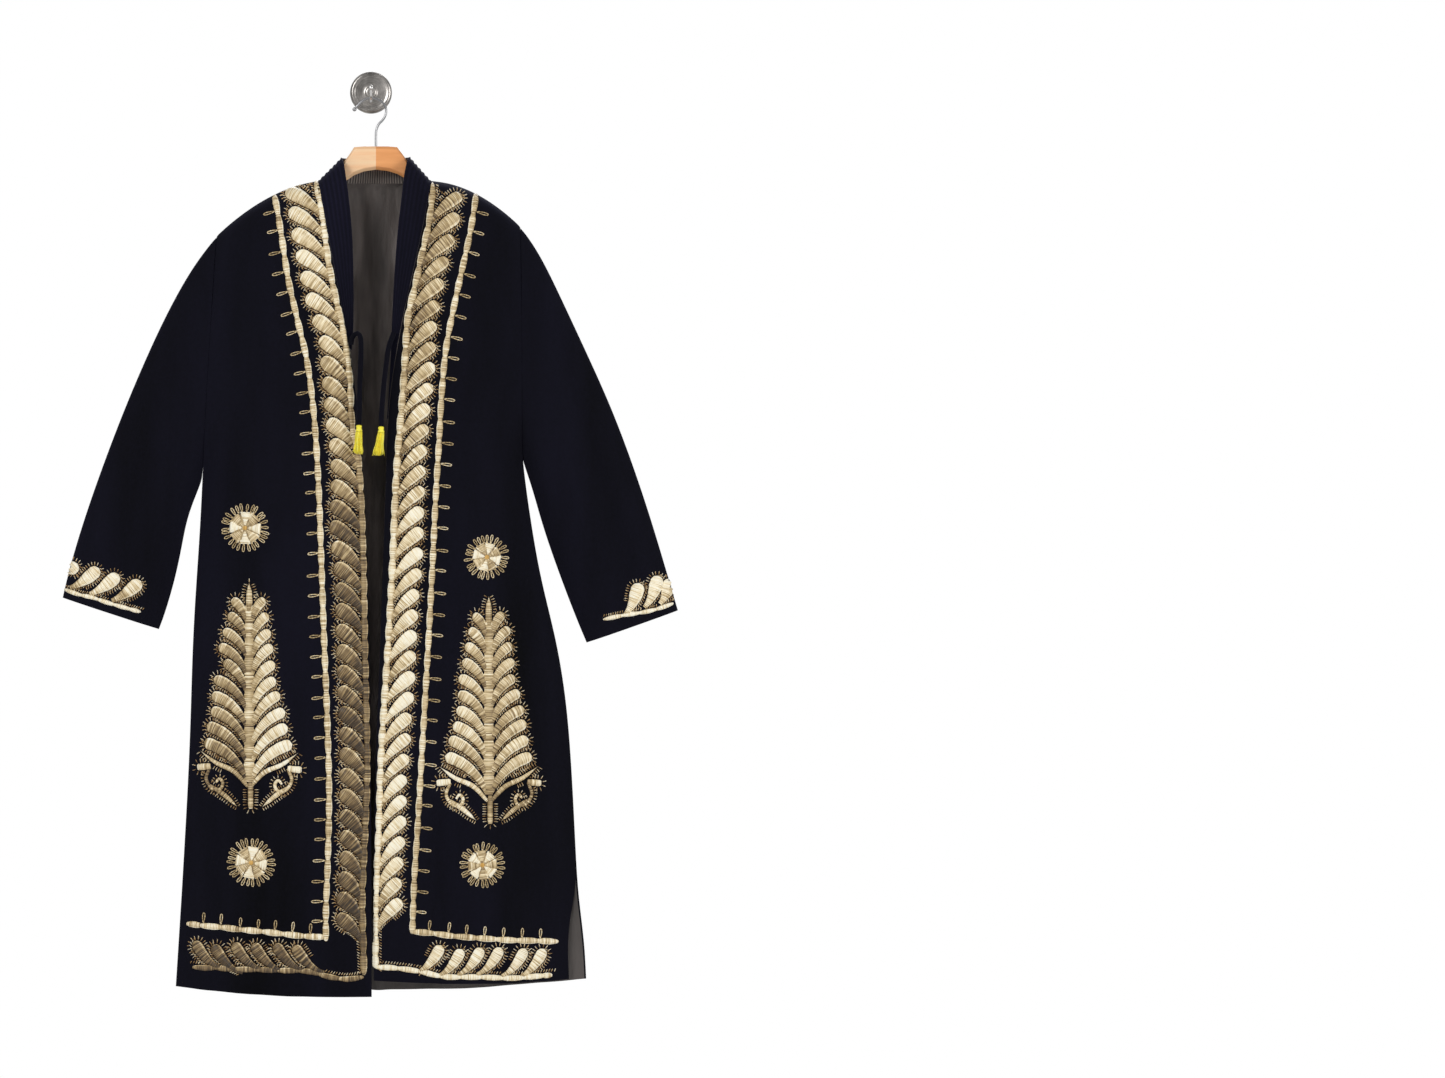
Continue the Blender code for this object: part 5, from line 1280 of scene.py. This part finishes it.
def ropeOf(work, line, half, tone, rim, height, pitch=rope["pitch"], lit=0.0):
    # a stitched rope: leaf after leaf, each lying on the end of the one before
    segment = pitch * rope["segment"] / rope["pitch"]
    fine = curveThrough(line, 2.0)
    along = np.arange(len(fine)) * (np.linalg.norm(np.diff(fine, axis=0), axis=1).sum() / (len(fine) - 1))
    start = 0.0
    while start < along[-1] - segment * 0.4:
        chosen = fine[(along >= start) & (along <= start + segment)]
        shade = tone + work.random.uniform(-0.10, 0.10) + lit * smoothStep(start / along[-1] * 1.5)
        work.leaf(chosen, half, ropeWidth, shade, height=height, rim=rim, rows=18, shadow=0.10, keep=False)
        start += pitch
    work.discs += [(x, z, half, onStem) for x, z in fine[::3]]


def petalTips(shape):
    tips = []
    z = shape["first"]
    while z > shape["last"]:
        tips.append((alongZ(shape["tips"], z), z))
        z -= shape["steps"][0] if z > shape["change"] else shape["steps"][1]
    return tips


def sewGarland(name):
    shape = garlands[name]
    side = shape["side"]
    work = Needlework(shape["cloth"], -1, shape["seed"])
    stemLine = np.column_stack([column(shape["stem"], "x"), column(shape["stem"], "z")])
    tips = petalTips(shape)
    lit = shape["low"] - shape["tone"]
    petals = []
    for i, (x, z) in enumerate(tips):
        share = i / (len(tips) - 1)
        tone = shape["tone"] + lit * smoothStep(share * 1.5) + work.random.normal(0, 0.06)
        low = max(z - shape["drop"][1], stemLine[-1][1])
        root = (alongZ(shape["stem"], low), low)
        bend = (alongZ(shape["stem"], z - 20) * 0.72 + x * 0.28, z - shape["drop"][0])
        half = shape["half"] * work.random.uniform(0.94, 1.05)
        line = bentLine(root, bend, (x, z))
        petals.append(work.leaf(line, half, shape["width"], tone, rim=shape["rim"], lift=0.15))
    for tip in np.array(shape["hemTips"], float):
        line = bentLine(tip + shape["hemRoot"], tip + shape["hemBend"], tip)
        tone = shape["low"] + work.random.uniform(-0.08, 0.06)
        petals.append(work.leaf(line, hemHalf, petalWidth, tone, rim=shape["rim"]))
    ropeOf(work, stemLine, rope["stemHalf"], shape["tone"] - 0.04, -side, rope["stemHigh"], lit=lit)
    ropeOf(work, shape["hem"], rope["stemHalf"] * 0.8, shape["low"], side, rope["lineHigh"])
    for own in petals:
        work.halo(own, start=0.55)
        work.between(own, 0.08, -side, -0.9 * side, long=4.8, tone=0.66)
    for line in (stemLine, shape["hem"]):
        work.row(curveThrough(line, 3), (side, 0.3), own=onStem, long=5.4, step=3.9, slant=0.5 * side,
                 gap=rope["stemHalf"] - 0.2, room=0.2)
    # two short rows at the top, above the first petal
    start = stemLine[0] + (side * 6.0, -8.0)
    for way in ((side * 0.9, -0.4), (side * 0.5, -0.9)):
        work.row(np.linspace(start, start + np.array(way) * 24, 5), (way[1], -way[0]), long=5.0, slant=0.5)
    work.laid("garland" + name.title(), "garland_" + name)


def sewLine(name):
    shape = garlands[name]
    work = Needlework(shape["cloth"], -1, shape["seed"] + 20)
    rows = (("line", shape["barStep"], bars["long"], (shape["side"], 0.1)),
            ("lowLine", bars["lowStep"], bars["long"] * bars["lowShare"], (0, 1)))
    for key, step, long, outward in rows:
        ropeOf(work, shape[key], rope["lineHalf"], 0.58, -shape["side"], rope["lineHigh"])
        fine = curveThrough(shape[key], step)
        heading = unit(np.gradient(fine, axis=0))
        for point, along in zip(fine[1:-1], heading[1:-1]):
            out = perpendicular(along)
            out = unit(out * np.sign(out @ np.array(outward)) + np.array((0, -0.08)))
            jitter = work.random.uniform(-1.5, 1.5)
            work.loop(point + along * jitter + out * (rope["lineHalf"] - 0.6), out, long + jitter, bars["wide"],
                      bars["tone"] + work.random.uniform(-0.12, 0.16))
    work.laid("outerLine" + name.title(), "line_" + name)


# trees: reach of the leaves on each side, from the top one down, and two scrolls at the foot
# leftTone and rightTone: brightness of the top and bottom leaves on each side, a painted reflection, as the
# threads shine by their direction
trees = {
    "left": {"cloth": "front_left", "seed": 31, "x": -171.8, "top": -703, "collar": -748,
             "tips": (-725, -928), "base": -990, "foot": -1021,
             "leftReach": (26, 31, 38, 44, 37, 51, 54, 55, 61, 65), "leftTone": (0.46, 0.42),
             "rightReach": (23, 28, 31, 34, 37, 38, 44, 51, 55, 61), "rightTone": (0.62, 0.86)},
    "right": {"cloth": "front_right", "seed": 37, "x": 166.0, "top": -722, "collar": -768,
              "tips": (-746, -946), "base": -1010, "foot": -1042,
              "leftReach": (23, 29, 34, 38, 43, 44, 46, 51, 57, 62), "leftTone": (0.56, 0.70),
              "rightReach": (22, 31, 34, 37, 38, 45, 51, 54, 57, 62), "rightTone": (0.60, 0.62)},
}
treeShape = {"drop": (30, 18), "bar": (-7, 8, 22), "barHalf": 8.2, "barThin": 1.4, "barHigh": 1.9,
             "barTone": 0.52, "leafHalf": (6.9, 1.5), "bend": (3, 0.34, 0.20), "topHalf": 4.8,
             "topTone": 0.62, "footHalf": 3.9, "footTone": 0.55, "footX": 2, "footUp": 8}
scroll = {"branch": ((-2, 0), (-22, 21), (-48, 33), (-70, 49)), "bud": ((-54, 27), (-74, 25)),
          "curl": ((-55, 26), (-61, 10), (-51, -5), (-41, -5), (-37, 4), (-42, 10), (-47, 4)),
          "low": ((-57, 1), (-38, -11), (-18, -28))}
# half width, width along the line, tone added and height of each part of a scroll
scrollParts = (("branch", 3.6, spearWidth, 0.0, 2.3), ("curl", 2.5, barWidth, -0.15, 1.9),
               ("low", 3.6, spearWidth, -0.1, 2.2), ("bud", 4.8, barWidth, 0.12, 2.6))


def sewTree(name):
    shape = trees[name]
    work = Needlework(shape["cloth"], -1, shape["seed"])
    x = shape["x"]
    count = len(shape["leftReach"])
    leaves = []
    for i, z in enumerate(np.linspace(*shape["tips"], count)):
        share = i / (count - 1)
        drop = treeShape["drop"][0] + treeShape["drop"][1] * share
        bar = bentLine(*[(x, z - drop + up) for up in treeShape["bar"]])
        half = treeShape["barHalf"] - treeShape["barThin"] * (1 - share)
        tone = treeShape["barTone"] + work.random.uniform(-0.06, 0.06)
        work.leaf(bar, half, barWidth, tone, height=treeShape["barHigh"], shadow=0.22, keep=False)
        work.discs += [(x, z - drop + treeShape["bar"][1], 6.0, onStem)]
        for side, reach, tones in ((-1, shape["leftReach"][i], shape["leftTone"]),
                                   (1, shape["rightReach"][i], shape["rightTone"])):
            tip = np.array((x + side * reach, z + work.random.uniform(-1.5, 1.5)))
            root = (x + side * 4.0, z - drop)
            out, along, down = treeShape["bend"]
            bend = (x + side * (out + reach * along), z - drop * down)
            tone = tones[0] + (tones[1] - tones[0]) * share + work.random.uniform(-0.07, 0.07)
            half = treeShape["leafHalf"][0] + treeShape["leafHalf"][1] * share
            own = work.leaf(bentLine(root, bend, tip), half, branchWidth, tone, rim=-1)
            leaves.append((own, side))
    topLine = [(x, z) for z in (shape["collar"], (shape["collar"] + shape["top"]) / 2, shape["top"])]
    footLine = [(x + treeShape["footX"], z) for z in (shape["base"] + treeShape["footUp"], shape["foot"])]
    top = work.leaf(topLine, treeShape["topHalf"], spearWidth, treeShape["topTone"])
    foot = work.leaf(footLine, treeShape["footHalf"], barWidth, treeShape["footTone"])
    ends = [(top, 0.1), (foot, 0.3)]
    outer = []
    for side in (-1, 1):
        place = {key: np.array(scroll[key], float) * (-side, 1) + (x, shape["base"])
                 + work.random.uniform(-1, 1, 2) for key in ("branch", "bud", "curl", "low")}
        tone = shape["leftTone"][1] + 0.2 if side < 0 else shape["rightTone"][1]
        own = {}
        for part, half, width, lighter, height in scrollParts:
            line = place["bud"] if part == "bud" else curveThrough(place[part], 2 if part == "curl" else 3)
            own[part] = work.leaf(line, half, width, tone + lighter, height=height)
        ends += [(own["branch"], 0.55), (own["bud"], 0.35)]
        outer += [(own["low"], side), (own["low"], -side), (own["curl"], side)]
    for own, side in leaves:
        work.halo(own, start=0.45)
        work.between(own, 0.12, -side, -0.8 * side)
    for own, start in ends:
        work.halo(own, start=start)
    for own, side in outer:
        work.halo(own, start=0.03, side=side, long=5.0, step=3.4, room=0.3)
    work.laid("cypress" + name.title(), "cypress_" + name)


# round flowers of eight sectors, with loops round them
rosettes = {
    "upper_left": {"cloth": "front_left", "at": (-177.5, -624.8), "radius": 22.5, "loops": 26, "seed": 41},
    "lower_left": {"cloth": "front_left", "at": (-169.0, -1097.0), "radius": 22.5, "loops": 27, "seed": 42},
    "upper_right": {"cloth": "front_right", "at": (163.3, -666.0), "radius": 20.0, "loops": 25, "seed": 43},
    "lower_right": {"cloth": "front_right", "at": (157.0, -1100.0), "radius": 20.5, "loops": 26, "seed": 44},
}
flower = {"sectors": 8, "tones": (0.54, 0.86), "wide": 0.40, "high": 2.2, "bed": (1.3, 0.45),
          "heart": (3.9, 1.6, 0.55), "loopLong": 11.5, "loopWide": 4.2, "loopTone": 0.62}


def sewRosette(name):
    shape = rosettes[name]
    work = Needlework(shape["cloth"], -1, shape["seed"])
    middle = np.array(shape["at"])
    radius = shape["radius"]
    turned = work.random.uniform(0, 0.8)
    work.dome(*middle, radius - 0.5, *flower["bed"], sides=28)
    for i in range(flower["sectors"]):
        turn = turned + i * 2 * math.pi / flower["sectors"] + work.random.uniform(-0.05, 0.05)
        out = np.array((math.cos(turn), math.sin(turn)))
        tone = flower["tones"][i % 2] + work.random.uniform(-0.1, 0.1)
        work.leaf((middle + out * 2, middle + out * radius), radius * flower["wide"], fanWidth, tone,
                  height=flower["high"], rim=1, shadow=0.12, rows=14)
    work.dome(*middle, *flower["heart"], sides=12, look=2, lift=0.9)
    for i in range(shape["loops"]):
        turn = turned + i * 2 * math.pi / shape["loops"] + work.random.uniform(-0.04, 0.04)
        out = np.array((math.cos(turn), math.sin(turn)))
        heading = out + perpendicular(out) * work.random.uniform(-0.16, 0.16)
        long = flower["loopLong"] + work.random.uniform(-1, 1.4)
        work.loop(middle + out * radius * 0.99, heading, long, flower["loopWide"],
                  flower["loopTone"] + work.random.uniform(-0.12, 0.12))
    work.laid("rosette" + titled(name), "rosette_" + name)


# the back: petals below the neck and the ring of comma petals
# tones: brightness of each petal below the neck, a painted reflection, as the threads shine by their direction
necklace = {
    "petals": (((4, -155), (28, -146), (54, -144), (83, -152), (102, -174)),
               ((6, -156), (30, -153), (54, -160), (78, -183)), ((9, -158), (27, -165), (43, -182), (49, -195)),
               ((3, -157), (3, -185), (3, -213)), ((-6, -159), (-24, -170), (-38, -184), (-50, -197)),
               ((-6, -157), (-31, -153), (-53, -163), (-77, -190)),
               ((0, -155), (-31, -144), (-62, -142), (-85, -156), (-104, -177))),
    "knot": (3.0, -157.0, 6.5, 3.6),
    "halves": (8.0, 8.8, 8.2, 9.4, 8.2, 8.8, 8.0), "tones": (0.62, 0.44, 0.50, 0.62, 0.80, 0.60, 0.66)}
wreath = {"at": (7.0, -388.0), "ring": 43.5, "root": 43.0, "bend": 60.0, "tip": 106.0, "half": 8.7,
          "petals": 21, "swirl": (-0.20, 0.17, 0.22), "dots": ((32.0, 15), (18.0, 9), (7.5, 5)),
          "ropeHalf": 4.4, "ropePitch": 13.3, "seed": 53}


def sewNecklace():
    work = Needlework("back", 1, 51)
    owners = []
    for line, half, tone in zip(necklace["petals"], necklace["halves"], necklace["tones"]):
        rim = 1 if line[-1][0] > 0 else -1
        owners.append(work.leaf(curveThrough(line, 4), half, petalWidth, tone, rim=rim, lift=0.1))
    work.dome(*necklace["knot"], 0.66, sides=12)
    for own in owners:
        work.halo(own, start=0.22, long=6.4)
    work.laid("neckPetals", "necklace")


def sewWreath():
    work = Needlework("back", 1, wreath["seed"])
    middle = np.array(wreath["at"])

    def place(radius, turn):
        return middle + radius * np.array((-math.cos(turn), math.sin(turn)))

    owners = []
    for i in range(wreath["petals"]):
        turn = i * 2 * math.pi / wreath["petals"] + work.random.uniform(-0.03, 0.03)
        line = bentLine(*[place(wreath[key], turn + add)
                          for key, add in zip(("root", "bend", "tip"), wreath["swirl"])])
        # painted reflection: petals are lighter or darker by their direction round the ring
        tone = 0.60 + 0.16 * math.sin(turn * 2 + 0.6) + work.random.uniform(-0.12, 0.12)
        half = wreath["half"] * work.random.uniform(0.93, 1.05)
        owners.append(work.leaf(line, half, clubWidth, tone, rim=1, lift=0.1))
    circle = [place(wreath["ring"], turn) for turn in np.linspace(0, 2 * math.pi, 49)]
    ropeOf(work, circle, wreath["ropeHalf"], 0.70, 1, 2.6, wreath["ropePitch"])
    for own in owners:
        work.halo(own, start=0.5, long=6.6)
        work.between(own, 0.14, 1, 0.8)
        work.between(own, 0.14, -1, -0.8, long=3.0, step=3.6, tone=0.56)
    for radius, count in wreath["dots"]:
        for i in range(count):
            away = radius + work.random.uniform(-1, 1)
            x, z = place(away, i * 2 * math.pi / count + work.random.uniform(-0.1, 0.1))
            work.dome(x, z, 1.25, 0.9, 0.62, sides=6, look=1)
    work.laid("backWreath", "wreath")


# short rows of petals: at the back hem and above the cuffs
# tone: brightness of a row's petals, a painted reflection, as the threads shine by their direction
petalRows = {
    "back_hem_right": {
        "cloth": "back", "facing": 1, "seed": 61, "half": 8.0, "tone": 0.66, "rim": 1, "high": 6.4,
        "tips": ((171.5, -1214.5), (147, -1218), (123, -1223.5), (98, -1229.5), (69, -1232), (45, -1228.5),
                 (20, -1218)),
        "bend": (20, -23), "root": (40, -27),
        "stem": ((234, -1241), (190, -1244), (136, -1251), (114, -1257), (100, -1259), (73, -1254),
                 (46, -1250), (20, -1246), (2, -1250))},
    "back_hem_left": {
        "cloth": "back", "facing": 1, "seed": 62, "half": 8.2, "tone": 0.34, "rim": -1, "high": 6.4,
        "tips": ((-42, -1219), (-70, -1221), (-98, -1222), (-123, -1225), (-150, -1228), (-177, -1231)),
        "bend": (-10, -27), "root": (-32, -34),
        "stem": ((-60, -1252), (-90, -1254), (-118, -1257), (-160, -1262), (-200, -1266), (-230, -1261))},
    "cuff_petals_front_left": {
        "cloth": "sleeve_left", "facing": -1, "seed": 63, "half": 9.2, "tone": 0.80, "rim": -1, "high": 6.0,
        "tips": ((-415, -675), (-384, -681.5), (-356.5, -690.5), (-325, -699.5)), "bend": (-22, -21),
        "root": (-41, -28), "lows": (0.45, 1.0, 1.0, 1.0),
        "stem": ((-435, -711), (-412, -719), (-395, -722.5), (-371, -730.5), (-325, -743.5))},
    "cuff_petals_front_right": {
        "cloth": "sleeve_right", "facing": -1, "seed": 64, "half": 9.4, "tone": 0.80, "rim": -1, "high": 6.0,
        "tips": ((378.5, -702.5), (406, -692), (424, -696)), "bend": (-6, -30), "root": (-20, -45),
        "stem": ((328, -754), (354, -748.5), (385.5, -743.5), (403, -739.5), (430, -730.5)),
        "lows": (1.0, 1.0, 0.8)},
    "cuff_petals_back_right": {
        "cloth": "sleeve_right", "facing": 1, "seed": 65, "half": 8.4, "tone": 0.72, "rim": 1, "high": 6.0,
        "tips": ((414, -700), (386, -708), (368, -718), (341, -727)), "bend": (20, -17), "root": (38, -22),
        "stem": ((430, -728), (404, -738), (381, -751), (360, -758), (336, -760)),
        "lows": (0.4, 1.0, 0.8, 1.0)},
    "cuff_petals_back_left": {
        "cloth": "sleeve_left", "facing": 1, "seed": 66, "half": 9.2, "tone": 0.74, "rim": 1, "high": 6.0,
        "tips": ((-380, -684), (-408, -674), (-425, -677)), "bend": (6, -30), "root": (20, -44),
        "stem": ((-330, -736), (-356, -730), (-388, -725), (-405, -721), (-431, -712)),
        "lows": (1.0, 1.0, 0.8)},
}


rowStem = {"half": 3.3, "high": 2.3, "pitch": 24.0, "gap": 3.2}


def sewRow(name):
    shape = petalRows[name]
    work = Needlework(shape["cloth"], shape["facing"], shape["seed"])
    bend, root = np.array(shape["bend"], float), np.array(shape["root"], float)
    side = 1 if root[0] > 0 else -1
    lows = shape.get("lows", (1.0,) * len(shape["tips"]))
    owners = []
    for tip, low in zip(np.array(shape["tips"], float), lows):
        tone = shape["tone"] + work.random.uniform(-0.10, 0.08)
        line = bentLine(tip + root * low, tip + bend * low, tip)
        owners.append(work.leaf(line, shape["half"], petalWidth, tone, rim=shape["rim"], lift=0.1))
    ropeOf(work, shape["stem"], rowStem["half"], shape["tone"], shape["rim"], rowStem["high"],
           rowStem["pitch"])
    work.row(curveThrough(shape["stem"], 3), (0, 1), own=onStem, long=4.6, step=3.2, slant=0.4,
             gap=rowStem["gap"], room=0.2)
    for own in owners:
        work.halo(own, start=0.4, long=shape["high"])
        work.between(own, 0.15, side, 0.8 * side)
    work.laid("sewn" + titled(name), name)


for sew in (sewGarland, sewLine, sewTree):
    for side in ("left", "right"):
        sew(side)
for name in rosettes:
    sewRosette(name)
sewNecklace()
sewWreath()
for name in petalRows:
    sewRow(name)
print("embroidery sewn")
